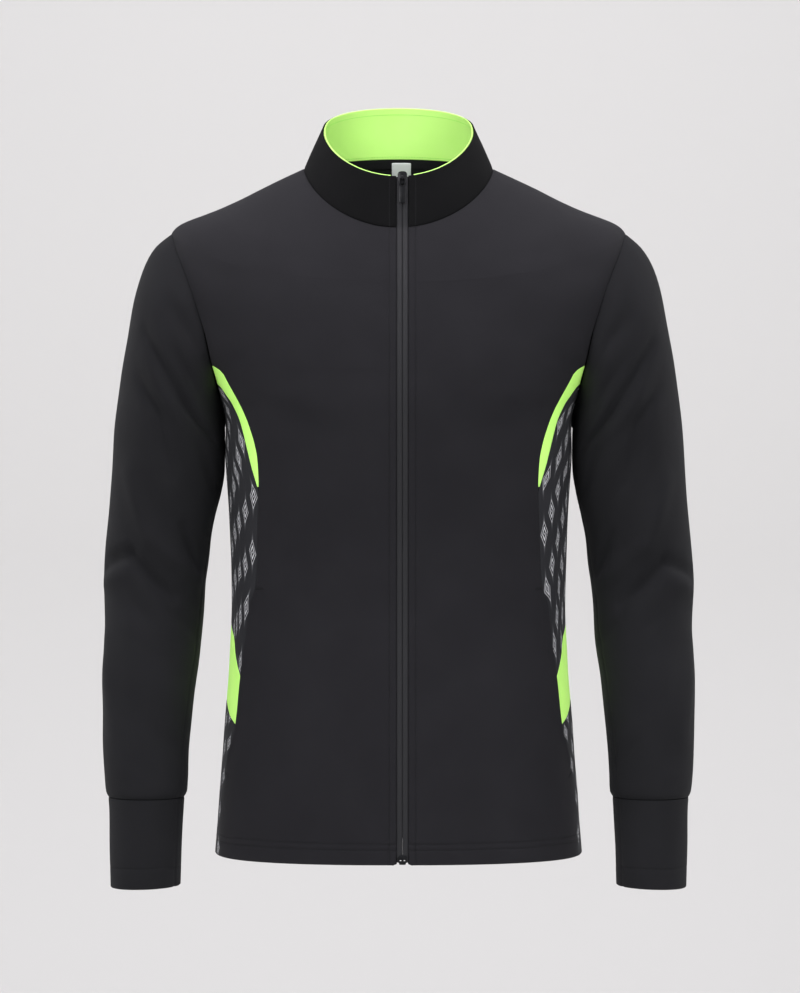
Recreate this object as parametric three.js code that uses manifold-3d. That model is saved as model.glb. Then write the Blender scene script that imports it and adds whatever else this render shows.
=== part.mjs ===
// A running jacket of stretch knit, filled out and hollow, as it stands when worn.
// Millimetres. +Z is up, the front faces -Y, and +X is the wearer's left.
// The origin is the middle of the neck base, at the height of the shoulders' neck points.
import * as THREE from 'three';
import { mergeVertices } from 'three/addons/utils/BufferGeometryUtils.js';
import Module from 'manifold-3d';

const wasm = await Module();
wasm.setup();

// ---------------------------------------------------------------- driving dimensions
const WALL = 1.5;             // knit cloth
const HEM_WALL = 2.4;         // the hem, where the cloth is turned up
const HEM_DEPTH = 20;         // height of the turned-up hem
const CUFF_WALL = 2;          // the cuff is doubled
const LINING_WALL = 1.2;
const LABEL_WALL = 0.8;
const SEAM_GAP = 0.3;         // between two pieces at a seam
const HEM_H = -691;           // level of the hem
const UNDERARM_H = -242;      // level of the lowest point of the armhole
const SHOULDER_H = -67;       // level of the shoulder tip
const NECK_H = 84;            // level that carries the neck seam
const ZIP_X = 3.9;            // the zip's centre line
const FOLD_X = 6.6;           // from the centre line to each folded edge of the fronts
const ZIP_BOX = { wide: 11.6, top: 9.4, foot: 2.4, nub: 6.4, inside: 2.9, outside: 0.5 };
const SLIDER = { wide: 9.4, long: 13, plate: 1.8, bail: 2.4, level: 0.95 };
const BAIL = { low: -3.2, high: 1.5, rise: 3.3, bar: 1.1 };
const TAB = { wide: 7, long: 25.5, thick: 1.2, arm: 1.9, eye: 9, axisUp: -1.1, axisOut: 2.85 };
const LABEL = { x0: -6.7, x1: 12.8, top: 81, bottom: 46 };
const AROUND_SLEEVE = 20;     // points round a sleeve, and steps of the armhole's angle

// ---------------------------------------------------------------- tables
// A table has named columns and runs smoothly, without overshoot, between its rows.
function table(columns, rows) {
  const keys = rows.map((row) => row[0]);
  const slopes = {};
  const values = {};
  columns.slice(1).forEach((name, j) => {
    const y = rows.map((row) => row[j + 1]);
    const step = keys.slice(1).map((k, i) => k - keys[i]);
    const rise = step.map((h, i) => (y[i + 1] - y[i]) / h);
    const m = y.map((_, i) => {
      if (i === 0) return rise[0];
      if (i === y.length - 1) return rise[i - 1];
      if (rise[i - 1] * rise[i] <= 0) return 0;
      const a = 2 * step[i] + step[i - 1];
      const b = step[i] + 2 * step[i - 1];
      return (a + b) / (a / rise[i - 1] + b / rise[i]);
    });
    values[name] = y;
    slopes[name] = m;
  });
  const at = (name, key) => {
    const k = Math.min(Math.max(key, keys[0]), keys[keys.length - 1]);
    let i = 0;
    while (i < keys.length - 2 && k >= keys[i + 1]) i += 1;
    const h = keys[i + 1] - keys[i];
    const t = (k - keys[i]) / h;
    const y = values[name];
    const m = slopes[name];
    return (2 * t ** 3 - 3 * t ** 2 + 1) * y[i] + (t ** 3 - 2 * t ** 2 + t) * h * m[i]
      + (-2 * t ** 3 + 3 * t ** 2) * y[i + 1] + (t ** 3 - t ** 2) * h * m[i + 1];
  };
  return { at, first: keys[0], last: keys[keys.length - 1] };
}

const RING = ['half', 'ySide', 'yFront', 'yBack', 'zSide', 'zFront', 'zBack', 'square', 'drop',
  'lag'];

// The body, one row for each ring. Below the armhole a ring is level. Above it the ring climbs
// from the front, over the shoulder, to the back, and the last ring is the neck seam.
// half is the half width, y and z are the places of the side, front and back, square is the
// power of the rounded outline, and drop and lag bend the ring from its side to the middle of
// its front and of its back.
const BODY = table(['h', ...RING], [
  [HEM_H, 186.5, 0, -130, 122, HEM_H, HEM_H, HEM_H, 2.35, 1.5, 1.5],
  [-640, 182.5, 0, -129, 119, -640, -640, -640, 2.35, 1.5, 1.5],
  [-560, 177.0, 0, -124, 108, -560, -560, -560, 2.35, 1.5, 1.5],
  [-500, 172.0, 0, -118, 99, -500, -500, -500, 2.35, 1.5, 1.5],
  [-440, 170.0, 0, -113, 93, -440, -440, -440, 2.35, 1.5, 1.5],
  [-380, 171.0, 2, -114, 96, -380, -380, -380, 2.35, 1.5, 1.5],
  [-330, 173.4, 4, -120, 103, -330, -330, -330, 2.35, 1.5, 1.5],
  [-292, 177.0, 6, -125, 108, -292, -292, -292, 2.35, 1.5, 1.5],
  [-265, 176.6, 7, -128, 112, -265, -265, -265, 2.35, 1.5, 1.5],
  [UNDERARM_H, 173.6, 8, -130, 115, -242, -243, -242, 2.35, 1.5, 1.5],
  [-227, 183.0, 8, -130, 116.5, -227, -230, -228, 2.35, 1.5, 1.5],
  [-194, 200.5, 8, -128, 118, -194, -202, -197, 2.32, 1.5, 1.5],
  [-150, 223.0, 8, -122, 117, -150, -168, -156, 2.25, 1.5, 1.5],
  [-110, 236.0, 8, -115, 112, -108, -142, -119, 2.15, 1.45, 1.45],
  [SHOULDER_H, 246.0, 8, -107, 104, -57, -118, -80, 2.05, 1.4, 1.4],
  [-30, 206.0, 8, -100, 94, -48, -102, -52, 2.0, 1.35, 1.35],
  [8, 164.0, 8, -93, 83.5, -28, -88, -27, 2.05, 1.35, 1.35],
  [46, 130.0, 8, -85.5, 72.5, -11.5, -75, -4, 2.0, 1.3, 1.3],
  [NECK_H, 96.5, 8, -78, 62, 4, -63, 18, 2.0, 1.3, 1.3],
]);

// The collar, from the neck seam (level 0) to its rim (level 1).
const COLLAR = table(['level', ...RING], [
  [0, 96.5, 8, -78, 62, 4, -63, 18, 2.0, 1.3, 1.3],
  [0.5, 88, 5, -74.5, 58, 22.5, -37, 44.5, 2.0, 1.25, 1.0],
  [1, 77, 1, -70.5, 53, 42, -10.5, 71, 2.0, 1.15, 0.7],
]);

// Half width of the body at the armhole's edge, by height.
const ARM_EDGE = table(['z', 'x'], [
  [UNDERARM_H, 177.8], [-227, 181.6], [-194, 188.5], [-169, 194], [-150, 200],
  [-124.6, 208.2], [-101.6, 217.2], [-82, 225], [-70, 231],
]);

// Half width of the body at the seam between front and side, which is the front edge of the
// underarm inset and, lower down, of the side panel. The step is the pocket's upper end.
const FRONT_SEAM = table(['z', 'x'], [
  [HEM_H, 180], [-648, 179], [-623, 176], [-593, 171.5], [-560, 163], [-514, 158],
  [-475, 153], [-434, 147.5], [-424, 143.5], [-374, 141], [-324, 139], [-294, 140.5],
  [-278, 143.5], [-262, 148.8], [-246, 155.5], [-230, 163.5], [-214, 173], [-206, 178.5],
  [-198, 184], [-192, 188.5], [-186, 193],
]);
// Half width at the seam between the underarm inset and the side panel.
const INSET_SEAM = table(['z', 'x'], [
  [-324, 139.4], [-313, 143.0], [-302, 146.5], [-286, 150.5], [-270, 154.5], [-254, 159.5],
  [UNDERARM_H, 165],
]);
// Half width at the seam between side and back.
const BACK_SEAM = table(['z', 'x'], [
  [HEM_H, 176], [-623, 170], [-560, 160], [-475, 152], [-424, 147], [-374, 146],
  [-300, 155], [-268, 166], [UNDERARM_H, 176.2],
]);
// The hip inset's upper and lower edge, from the front seam (across 0) to the back seam (1).
const HIP = table(['across', 'top', 'bottom'], [
  [0, -513, -559.5], [0.14, -490, -551], [0.22, -472, -545], [0.5, -459, -529], [1, -453, -482],
]);

// Rise of the side panel's upper edge over the underarm's level, up to the armhole.
const SIDE_TOP = table(['across', 'rise'], [[0, -0.5], [0.5, 2.6], [0.75, -0.2], [1, 0]]);

// The sleeve, one row for each section down the arm, keyed by the arm's depth. A section runs
// from its outer to its inner point, and deep is its half depth from front to back.
const SLEEVE = table(['depth', 'xOut', 'zOut', 'xIn', 'zIn', 'yMid', 'deep'], [
  [154, 230.5, -65, 177.8, -242, 2, 59],
  [168, 247.0, -76, 177.7, -254, 0, 64],
  [190, 262.5, -106, 177.0, -268, -1, 66],
  [218, 272.5, -150, 176.9, -285, -1, 66],
  [250, 280.5, -197, 177.5, -304, 0, 64],
  [285, 287.0, -243, 180.9, -327, 1, 62],
  [318, 291.0, -286, 186.2, -350, 2, 59.5],
  [354, 294.0, -334, 191.0, -374, 3, 57],
  [390, 298.5, -382, 193.5, -398, 3, 55],
  [420, 300.5, -419, 196.5, -421, 1, 53.5],
  [468, 298.0, -468, 199.3, -468, -7, 51],
  [516, 300.0, -516, 205.0, -516, -18, 48],
  [564, 298.5, -564, 209.6, -564, -29, 45],
  [611, 295.5, -611, 212.0, -611, -39, 42.5],
  [626, 294.0, -626, 212.5, -626, -42, 41.5],
  [632, 291.5, -632, 215.0, -632, -43.5, 39],
]);
const CUFF = table(['depth', 'xOut', 'zOut', 'xIn', 'zIn', 'yMid', 'deep'], [
  [0, 291.5, -632.3, 215.0, -632.3, -43.5, 39],
  [10, 290.6, -642, 215.8, -642, -45.5, 37.8],
  [46, 289.6, -680, 217.8, -678, -51, 36.4],
  [84, 288.0, -720, 220.0, -715, -57, 35.6],
]);

// Folds of the sleeve, each a soft line between two places. turn is the angle round the sleeve,
// in degrees from its outer side over the front, depth is the place down the arm, width is the
// half width of the fold and height its rise, below 0 for a crease.
const FOLDS = [
  { turn0: 66, depth0: 176, turn1: 104, depth1: 160, width: 9, height: -4 },
  { turn0: 50, depth0: 214, turn1: 104, depth1: 222, width: 10, height: -4.5 },
  { turn0: 104, depth0: 222, turn1: 138, depth1: 220, width: 10, height: -5 },
  { turn0: 52, depth0: 248, turn1: 78, depth1: 258, width: 9, height: -3 },
  { turn0: 78, depth0: 258, turn1: 96, depth1: 304, width: 11, height: -3.5 },
  { turn0: 18, depth0: 404, turn1: 64, depth1: 391, width: 9, height: -4.5 },
  { turn0: 64, depth0: 391, turn1: 116, depth1: 432, width: 10, height: -5 },
  { turn0: 54, depth0: 326, turn1: 86, depth1: 374, width: 14, height: 3.5 },
  { turn0: 86, depth0: 374, turn1: 150, depth1: 412, width: 14, height: 3.5 },
  { turn0: 122, depth0: 352, turn1: 146, depth1: 396, width: 9, height: -3.5 },
  { turn0: 24, depth0: 476, turn1: 44, depth1: 560, width: 16, height: 2.5 },
  { turn0: 250, depth0: 388, turn1: 318, depth1: 418, width: 12, height: -4 },
  { turn0: 232, depth0: 224, turn1: 300, depth1: 214, width: 12, height: -4 },
];

// ---------------------------------------------------------------- surfaces
const vec = (x, y, z) => new THREE.Vector3(x, y, z);
const mix = (a, b, t) => a + (b - a) * t;
const smooth = (a, b, x) => {
  const t = Math.min(Math.max((x - a) / (b - a), 0), 1);
  return t * t * (3 - 2 * t);
};

// Point of a ring at an angle from the middle of the front (0) over the side to the back (pi).
function ringPoint(rings, turn, key) {
  const at = (name) => rings.at(name, key);
  const across = Math.sin(turn);
  const along = Math.abs(Math.cos(turn));
  const power = at('square');
  const reach = (Math.abs(across) ** power + along ** power) ** (-1 / power);
  const middle = turn <= Math.PI / 2 ? 'Front' : 'Back';
  const share = reach * along;
  return vec(
    at('half') * reach * across,
    mix(at('ySide'), at(`y${middle}`), share),
    mix(at('zSide'), at(`z${middle}`), share ** at(middle === 'Front' ? 'drop' : 'lag')),
  );
}

// A surface gives a point and its outward normal from two numbers.
function surface(point, low, high, stepA, stepB) {
  const normal = (a, b) => {
    const da = point(a + stepA, b).sub(point(a - stepA, b));
    const db = point(a, Math.min(b + stepB, high)).sub(point(a, Math.max(b - stepB, low)));
    return da.cross(db).normalize();
  };
  return { point, normal };
}
const ringSurface = (rings, step) => surface(
  (turn, key) => ringPoint(rings, turn, key), rings.first, rings.last, 0.01, step);

// The cloth spans softly over the shoulders and under the arms, so each place of the body is
// the mean of its ring and of rings up to `reach` below and above it. The reach is longest
// between the middle and the side, where the chest turns into the shoulder.
const SPAN = [-1, -0.5, 0, 0.5, 1];
const SPAN_WEIGHTS = [1, 2, 3, 2, 1].map((w) => w / 9);
function bodyPoint(turn, h) {
  const longest = mix(26, 40, smooth(-200, -120, h)) * (1 + 0.8 * Math.sin(2 * turn) ** 2);
  const reach = Math.min(longest * smooth(-440, -330, h), 0.6 * (NECK_H - h));
  return SPAN.reduce((sum, step, i) => (
    sum.addScaledVector(ringPoint(BODY, turn, h + step * reach), SPAN_WEIGHTS[i])), vec(0, 0, 0));
}
const BODY_SURFACE = surface(bodyPoint, BODY.first, BODY.last, 0.01, 2);
const COLLAR_SURFACE = ringSurface(COLLAR, 0.02);

// Angle at which a ring reaches a half width that may depend on height.
function turnAt(rings, key, halfWidth, onBack) {
  const faces = rings === BODY ? BODY_SURFACE : COLLAR_SURFACE;
  let low = onBack ? Math.PI / 2 : 0;
  let high = onBack ? Math.PI : Math.PI / 2;
  for (let i = 0; i < 40; i += 1) {
    const middle = (low + high) / 2;
    const p = faces.point(middle, key);
    const beyond = p.x > halfWidth(p.z);
    if (beyond === onBack) low = middle;
    else high = middle;
  }
  return (low + high) / 2;
}
const seamTurn = (seam, onBack) => (h) => turnAt(BODY, h, (z) => seam.at('x', z), onBack);
const frontSeamTurn = seamTurn(FRONT_SEAM, false);
const insetSeamTurn = seamTurn(INSET_SEAM, false);
const backSeamTurn = seamTurn(BACK_SEAM, true);
const armholeTurn = (h, onBack) => (h <= UNDERARM_H || h >= SHOULDER_H
  ? Math.PI / 2 : seamTurn(ARM_EDGE, onBack)(h));

// The armhole, by an angle from the shoulder tip (0) over the front (90) to the underarm (180).
const ARMHOLE_MIDDLE = (UNDERARM_H + SHOULDER_H) / 2;
const ARMHOLE_HALF = (SHOULDER_H - UNDERARM_H) / 2;
function armhole(angle) {
  const h = ARMHOLE_MIDDLE + ARMHOLE_HALF * Math.cos(angle);
  const turn = armholeTurn(h, angle > Math.PI);
  return { point: BODY_SURFACE.point(turn, h), normal: BODY_SURFACE.normal(turn, h) };
}
const armholeRows = Array.from({ length: AROUND_SLEEVE / 2 + 1 }, (_, i) => (
  ARMHOLE_MIDDLE - ARMHOLE_HALF * Math.cos((2 * Math.PI * i) / AROUND_SLEEVE)));

function sectionPoint(sections, angle, depth) {
  const at = (name) => sections.at(name, depth);
  const swing = (1 + Math.cos(angle)) / 2;
  return vec(
    mix(at('xIn'), at('xOut'), swing),
    at('yMid') - at('deep') * Math.sin(angle),
    mix(at('zIn'), at('zOut'), swing),
  );
}

// Rise of the folds at a place of the sleeve, with the soft ends of each fold.
function foldRise(angle, depth) {
  const perDegree = 0.92;
  const across = (angle * 180 / Math.PI) * perDegree;
  return FOLDS.reduce((sum, fold) => {
    const a = new THREE.Vector2(fold.turn0 * perDegree, fold.depth0);
    const b = new THREE.Vector2(fold.turn1 * perDegree, fold.depth1);
    const p = new THREE.Vector2(across, depth).sub(a);
    const line = b.sub(a);
    const t = Math.min(Math.max(p.dot(line) / line.lengthSq(), 0), 1);
    const away = p.sub(line.multiplyScalar(t)).length();
    return sum + fold.height * Math.exp(-((away / fold.width) ** 2));
  }, 0);
}

// The sleeve starts on the armhole and settles into its own sections down the arm.
const SLEEVE_SETTLES = 60;
function sleevePoint(angle, depth) {
  const p = sectionPoint(SLEEVE, angle, depth);
  const settle = 1 - smooth(0, SLEEVE_SETTLES, depth - SLEEVE.first);
  if (settle === 0) return p;
  const start = sectionPoint(SLEEVE, angle, SLEEVE.first);
  return p.add(armhole(angle).point.sub(start).multiplyScalar(settle));
}
const onTurn = (angle) => ((angle % (2 * Math.PI)) + 2 * Math.PI) % (2 * Math.PI);
const tubeSurface = (point, low, high) => surface(
  (a, b) => point(onTurn(a), b), low, high, 0.05, 3);
const SLEEVE_SURFACE = tubeSurface(sleevePoint, SLEEVE.first, SLEEVE.last);
const CUFF_SURFACE = tubeSurface((a, d) => sectionPoint(CUFF, a, d), CUFF.first, CUFF.last);

// ---------------------------------------------------------------- walls
// Moves the rim of a grid of points inwards, so that two pieces keep their gap at a seam.
function pullIn(grid, closed) {
  const out = grid.map((row) => row.map((p) => p.clone()));
  const toward = (i, j, i2, j2) => {
    const d = grid[i2][j2].clone().sub(grid[i][j]);
    out[i][j].add(d.setLength(Math.min(SEAM_GAP / 2, d.length() / 3)));
  };
  const rows = grid.length - 1;
  const cols = grid[0].length - 1;
  for (let j = 0; j <= cols; j += 1) {
    toward(0, j, 1, j);
    toward(rows, j, rows - 1, j);
  }
  if (!closed) {
    for (let i = 0; i <= rows; i += 1) {
      toward(i, 0, i, 1);
      toward(i, cols, i, cols - 1);
    }
  }
  return out;
}

// A closed solid between an outer and an inner grid of points.
function solidBetween(outer, inner, closed) {
  const rows = outer.length;
  const cols = outer[0].length;
  const flat = [...outer.flat(), ...inner.flat()];
  const index = [];
  const outerAt = (i, j) => i * cols + (j % cols);
  const innerAt = (i, j) => rows * cols + outerAt(i, j);
  const quad = (a, b, c, d) => index.push(a, b, c, a, c, d);
  const lastCol = closed ? cols : cols - 1;
  for (let i = 0; i < rows - 1; i += 1) {
    for (let j = 0; j < lastCol; j += 1) {
      quad(outerAt(i, j), outerAt(i, j + 1), outerAt(i + 1, j + 1), outerAt(i + 1, j));
      quad(innerAt(i, j), innerAt(i + 1, j), innerAt(i + 1, j + 1), innerAt(i, j + 1));
    }
    if (!closed) {
      quad(outerAt(i, 0), outerAt(i + 1, 0), innerAt(i + 1, 0), innerAt(i, 0));
      const j = cols - 1;
      quad(outerAt(i, j), innerAt(i, j), innerAt(i + 1, j), outerAt(i + 1, j));
    }
  }
  for (let j = 0; j < lastCol; j += 1) {
    quad(outerAt(0, j), innerAt(0, j), innerAt(0, j + 1), outerAt(0, j + 1));
    const i = rows - 1;
    quad(outerAt(i, j), outerAt(i, j + 1), innerAt(i, j + 1), innerAt(i, j));
  }
  return solid(flat, index);
}

// A geometry from points and triangles, turned so that its faces point outwards.
function solid(points, index) {
  let volume = 0;
  for (let i = 0; i < index.length; i += 3) {
    const [a, b, c] = index.slice(i, i + 3).map((k) => points[k]);
    volume += a.dot(b.clone().cross(c));
  }
  const faces = volume > 0 ? index : index.slice().reverse();
  const geometry = new THREE.BufferGeometry();
  const numbers = points.flatMap((p) => [p.x, p.y, p.z]);
  geometry.setAttribute('position', new THREE.Float32BufferAttribute(numbers, 3));
  geometry.setIndex(faces);
  geometry.computeVertexNormals();
  return geometry;
}

// A cloth wall: its places are rows of { surface, a, b, side }, its outer face lies `lift`
// outside the surface, and thick gives its thickness at a place.
function wall(places, { thick = () => WALL, lift = 0, rise = () => 0, closed = false } = {}) {
  const shifted = (place, by) => {
    const n = place.surface.normal(place.a, place.b);
    const p = place.surface.point(place.a, place.b).addScaledVector(n, by);
    return vec(p.x * place.side, p.y, p.z);
  };
  const outer = places.map((row) => row.map((q) => shifted(q, lift + rise(q))));
  const inner = places.map((row) => row.map((q) => shifted(q, lift + rise(q) - thick(q))));
  return solidBetween(pullIn(outer, closed), pullIn(inner, closed), closed);
}
const hemThick = (place) => (place.b <= HEM_H + HEM_DEPTH ? HEM_WALL : WALL);
const steps = (n) => Array.from({ length: n + 1 }, (_, i) => i / n);
const between = (a, b, n) => steps(n).map((t) => mix(a, b, t));

// ---------------------------------------------------------------- rows of the body panels
const HEM_ROWS = [HEM_H, HEM_H + HEM_DEPTH, HEM_H + HEM_DEPTH + 1.5, -640, -600];
const YOKE_ROWS = [-38, -8, 22, 53, NECK_H];
const SIDE_STEPS = [0, 0.06, 0.132, 0.211, 0.302, 0.39, 0.49, 0.6, 0.71, 0.82, 0.92, 1];
const HIP_STEPS = [0, 0.5, 1];
const SIDE_COLUMNS = [0, 0.07, 0.14, 0.22, 0.36, 0.5, 0.75, 1];
const INSET_ROWS = 5;         // of SIDE_STEPS, those that the underarm inset goes down
const INSET_FOOT_H = -325;    // level of its lower point

const sideUpperH = (u, t) => mix(UNDERARM_H + SIDE_TOP.at('rise', u), HIP.at('top', u), t);
const hipH = (u, t) => mix(HIP.at('top', u), HIP.at('bottom', u), t);
const lowerRowH = (u, row) => HEM_H
  + (HEM_ROWS[row] - HEM_H) * (HIP.at('bottom', u) - HEM_H) / (HIP.at('bottom', 0) - HEM_H);
// The rows that a front (u = 0) or back (u = 1) shares with the side pieces, from the hem up.
function seamRows(u) {
  const hem = HEM_ROWS.map((_, i) => (i < 3 ? HEM_ROWS[i] : lowerRowH(u, i)));
  const hip = HIP_STEPS.map((t) => hipH(u, t)).reverse();
  const upper = SIDE_STEPS.slice(1, -1).map((t) => sideUpperH(u, t)).reverse();
  return [...hem, ...hip, ...upper, ...armholeRows, ...YOKE_ROWS];
}

const bodyPlace = (side) => (a, b) => ({ surface: BODY_SURFACE, a, b, side });
const foldTurn = (rings, key, side) => turnAt(rings, key, () => FOLD_X + side * ZIP_X, false);
const insetTop = armholeRows[3];

function frontEdgeTurn(h) {
  if (h <= insetTop + 0.01) return frontSeamTurn(h);
  return armholeTurn(h, false);
}
function front(side) {
  const place = bodyPlace(side);
  const rows = seamRows(0).map((h) => (
    between(foldTurn(BODY, h, side), frontEdgeTurn(h), 10).map((turn) => place(turn, h))));
  return wall(rows, { thick: hemThick });
}

function back() {
  const rows = seamRows(1).map((h) => {
    const edge = h <= UNDERARM_H + 0.01 ? backSeamTurn(h) : armholeTurn(h, true);
    return between(-1, 1, 16).map((t) => {
      const turn = Math.PI - Math.abs(t) * (Math.PI - edge);
      return bodyPlace(t < 0 ? -1 : 1)(turn, h);
    });
  });
  return wall(rows, { thick: hemThick });
}

// A side piece, from its rows of heights at each column.
const sideFrontTurn = (h) => Math.max(frontSeamTurn(h), h > INSET_FOOT_H ? insetSeamTurn(h) : 0);
const sidePiece = (side, heights) => wall(
  heights.map((rowH) => SIDE_COLUMNS.map((u) => {
    const h = rowH(u);
    return bodyPlace(side)(mix(sideFrontTurn(h), backSeamTurn(h), u), h);
  })), { thick: hemThick });
const sideUpper = (side) => sidePiece(side, SIDE_STEPS.map((t) => (u) => sideUpperH(u, t)));
const hipInset = (side) => sidePiece(side, HIP_STEPS.map((t) => (u) => hipH(u, t)));
const sideLower = (side) => sidePiece(side, [
  ...HEM_ROWS.map((h, i) => (u) => (i < 3 ? h : lowerRowH(u, i))),
  (u) => HIP.at('bottom', u),
]);

function underarmInset(side) {
  const upper = armholeRows.slice(1, 4).reverse();
  const lower = SIDE_STEPS.slice(0, INSET_ROWS).map((t) => sideUpperH(0, t));
  const rows = [...upper, ...lower].map((h) => {
    const rear = h > UNDERARM_H + 0.01 ? armholeTurn(h, false) : insetSeamTurn(h);
    return between(frontSeamTurn(h), rear, 2).map((turn) => bodyPlace(side)(turn, h));
  });
  return wall(rows);
}

// ---------------------------------------------------------------- sleeves and cuffs
const SLEEVE_ROWS = [154, 163, 175, 190, 206, 223, 241, 260, 280, 300, 322, 345, 368, 392, 416,
  442, 470, 500, 530, 560, 590, 616, 627, 632];
const sleeveAngles = Array.from({ length: AROUND_SLEEVE }, (_, i) => (
  (2 * Math.PI * i) / AROUND_SLEEVE));

function sleeve(side) {
  const shifted = (angle, depth, by) => SLEEVE_SURFACE.point(angle, depth)
    .addScaledVector(SLEEVE_SURFACE.normal(angle, depth), by);
  const grid = (thick) => SLEEVE_ROWS.map((depth, i) => sleeveAngles.map((angle) => {
    if (i > 0) {
      const fade = smooth(0, 14, depth - SLEEVE.first) * smooth(0, 30, SLEEVE.last - depth);
      return shifted(angle, depth, foldRise(angle, depth) * fade - thick);
    }
    // The first row sits just off the armhole. Its wall is turned as the body's is, but for
    // the underarm, where the sleeve folds down against the side.
    const seam = armhole(angle);
    const own = SLEEVE_SURFACE.normal(angle, depth);
    const share = smooth(-0.3, 0.5, own.dot(seam.normal));
    const turned = own.lerp(seam.normal, share).normalize();
    return seam.point.addScaledVector(seam.normal, SEAM_GAP).addScaledVector(turned, -thick);
  }));
  const mirrored = (g) => g.map((row) => row.map((p) => vec(p.x * side, p.y, p.z)));
  const outer = pullIn(mirrored(grid(0)), true);
  const inner = pullIn(mirrored(grid(WALL)), true);
  return solidBetween(outer, inner, true);
}

function cuff(side) {
  const rows = [0, 10, 28, 46, 66, 84].map((depth) => sleeveAngles.map((angle) => (
    { surface: CUFF_SURFACE, a: angle, b: depth, side })));
  return wall(rows, { thick: () => CUFF_WALL, closed: true });
}

// ---------------------------------------------------------------- collar, lining and label
// Rows of places round the neck, from one edge of the zip to the other.
const neckRows = (levels) => levels.map((level) => between(-1, 1, 28).map((t) => {
  const side = t < 0 ? -1 : 1;
  const turn = mix(Math.PI, foldTurn(COLLAR, level, side), Math.abs(t));
  return { surface: COLLAR_SURFACE, a: turn, b: level, side };
}));
const collar = () => wall(neckRows([0.004, 0.2, 0.4, 0.6, 0.8, 0.975]));

// The lining lies inside the collar, clear of the zip's tapes, and shows as an edge at the rim.
function collarLining() {
  const rows = neckRows([0.03, 0.2, 0.4, 0.6, 0.8, 0.975, 1]).map((row) => row.slice(1, -1));
  return wall(rows, { lift: -WALL - SEAM_GAP, thick: () => LINING_WALL });
}

function neckLabel() {
  const rows = between(LABEL.top, LABEL.bottom, 3).map((h) => (
    between(LABEL.x0, LABEL.x1, 3).map((x) => (
      bodyPlace(Math.sign(x))(turnAt(BODY, h, () => Math.abs(x), true), h)))));
  return wall(rows, { lift: -WALL - 2 * SEAM_GAP, thick: () => LABEL_WALL });
}

// ---------------------------------------------------------------- zip
// Half of the zip: the coil in the opening and the tape behind the front, as one section.
const ZIP_SECTION = [
  { across: 0.15, out: -0.3 }, { across: 5.9, out: -0.3 }, { across: 5.9, out: -2.7 },
  { across: 13, out: -2.7 }, { across: 13, out: -3.4 }, { across: 0.15, out: -3.4 },
];
const ZIP_LEVELS = [0, 0.3, 0.6, 0.97];
const zipRows = [-680.5, -640, -600, -560, -520, -475, -440, -410, -380, -350, -320, -290,
  -265, -242, -218, -194, -170, -150, -130, -110, -88, -67, -38, -8, 22, 53];

// A place on the middle of the front, x from the middle, on the body or on the collar.
function frontPoint(x, rings, key, out) {
  const faces = rings === BODY ? BODY_SURFACE : COLLAR_SURFACE;
  const turn = turnAt(rings, key, () => Math.abs(x), false);
  const p = faces.point(turn, key).addScaledVector(faces.normal(turn, key), out);
  return vec(x, p.y, p.z);
}
function zipHalf(side) {
  const levels = [...zipRows.map((h) => [BODY, h]), ...ZIP_LEVELS.map((l) => [COLLAR, l])];
  const loops = levels.map(([rings, key]) => ZIP_SECTION.map(({ across, out }) => (
    frontPoint(ZIP_X + side * across, rings, key, out))));
  const n = ZIP_SECTION.length;
  const index = [];
  for (let i = 0; i < loops.length - 1; i += 1) {
    for (let j = 0; j < n; j += 1) {
      const a = i * n + j;
      const b = i * n + ((j + 1) % n);
      index.push(a, b, b + n, a, b + n, a + n);
    }
  }
  const contour = ZIP_SECTION.map(({ across, out }) => new THREE.Vector2(across, out));
  const last = (loops.length - 1) * n;
  const way = Math.sign(THREE.ShapeUtils.area(contour));
  THREE.ShapeUtils.triangulateShape(contour, []).forEach((corners) => {
    const runs = Math.sign(THREE.ShapeUtils.area(corners.map((k) => contour[k]))) === way;
    const [a, b, c] = runs ? corners : [...corners].reverse();
    index.push(a, c, b, last + a, last + b, last + c);
  });
  return solid(loops.flat(), index);
}

function roundedRect(wide, high, corner) {
  const x = wide / 2;
  const y = high / 2;
  const s = new THREE.Shape();
  s.moveTo(-x + corner, -y);
  s.lineTo(x - corner, -y);
  s.absarc(x - corner, -y + corner, corner, -Math.PI / 2, 0);
  s.lineTo(x, y - corner);
  s.absarc(x - corner, y - corner, corner, 0, Math.PI / 2);
  s.lineTo(-x + corner, y);
  s.absarc(-x + corner, y - corner, corner, Math.PI / 2, Math.PI);
  s.lineTo(-x, -y + corner);
  s.absarc(-x + corner, -y + corner, corner, Math.PI, 1.5 * Math.PI);
  return s;
}
const extrude = (shape, depth) => new THREE.ExtrudeGeometry(
  shape, { depth, bevelEnabled: false, curveSegments: 3 });

// A shape drawn in X and Z, from one Y to another: y grows away from the wearer's front.
function plateXZ(shape, yNear, yFar) {
  const g = extrude(shape, yFar - yNear);
  return g.rotateX(Math.PI / 2).translate(0, yFar, 0);
}

function toManifold(geometry) {
  const g = geometry.clone();
  g.deleteAttribute('normal');
  g.deleteAttribute('uv');
  const merged = mergeVertices(g, 1e-4);
  return new wasm.Manifold(new wasm.Mesh({
    numProp: 3,
    vertProperties: new Float32Array(merged.attributes.position.array),
    triVerts: new Uint32Array(merged.index.array),
  }));
}
function fromManifold(m) {
  const mesh = m.getMesh();
  const g = new THREE.BufferGeometry();
  g.setAttribute('position', new THREE.Float32BufferAttribute(mesh.vertProperties, 3));
  g.setIndex(Array.from(mesh.triVerts));
  g.computeVertexNormals();
  return g;
}

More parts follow.
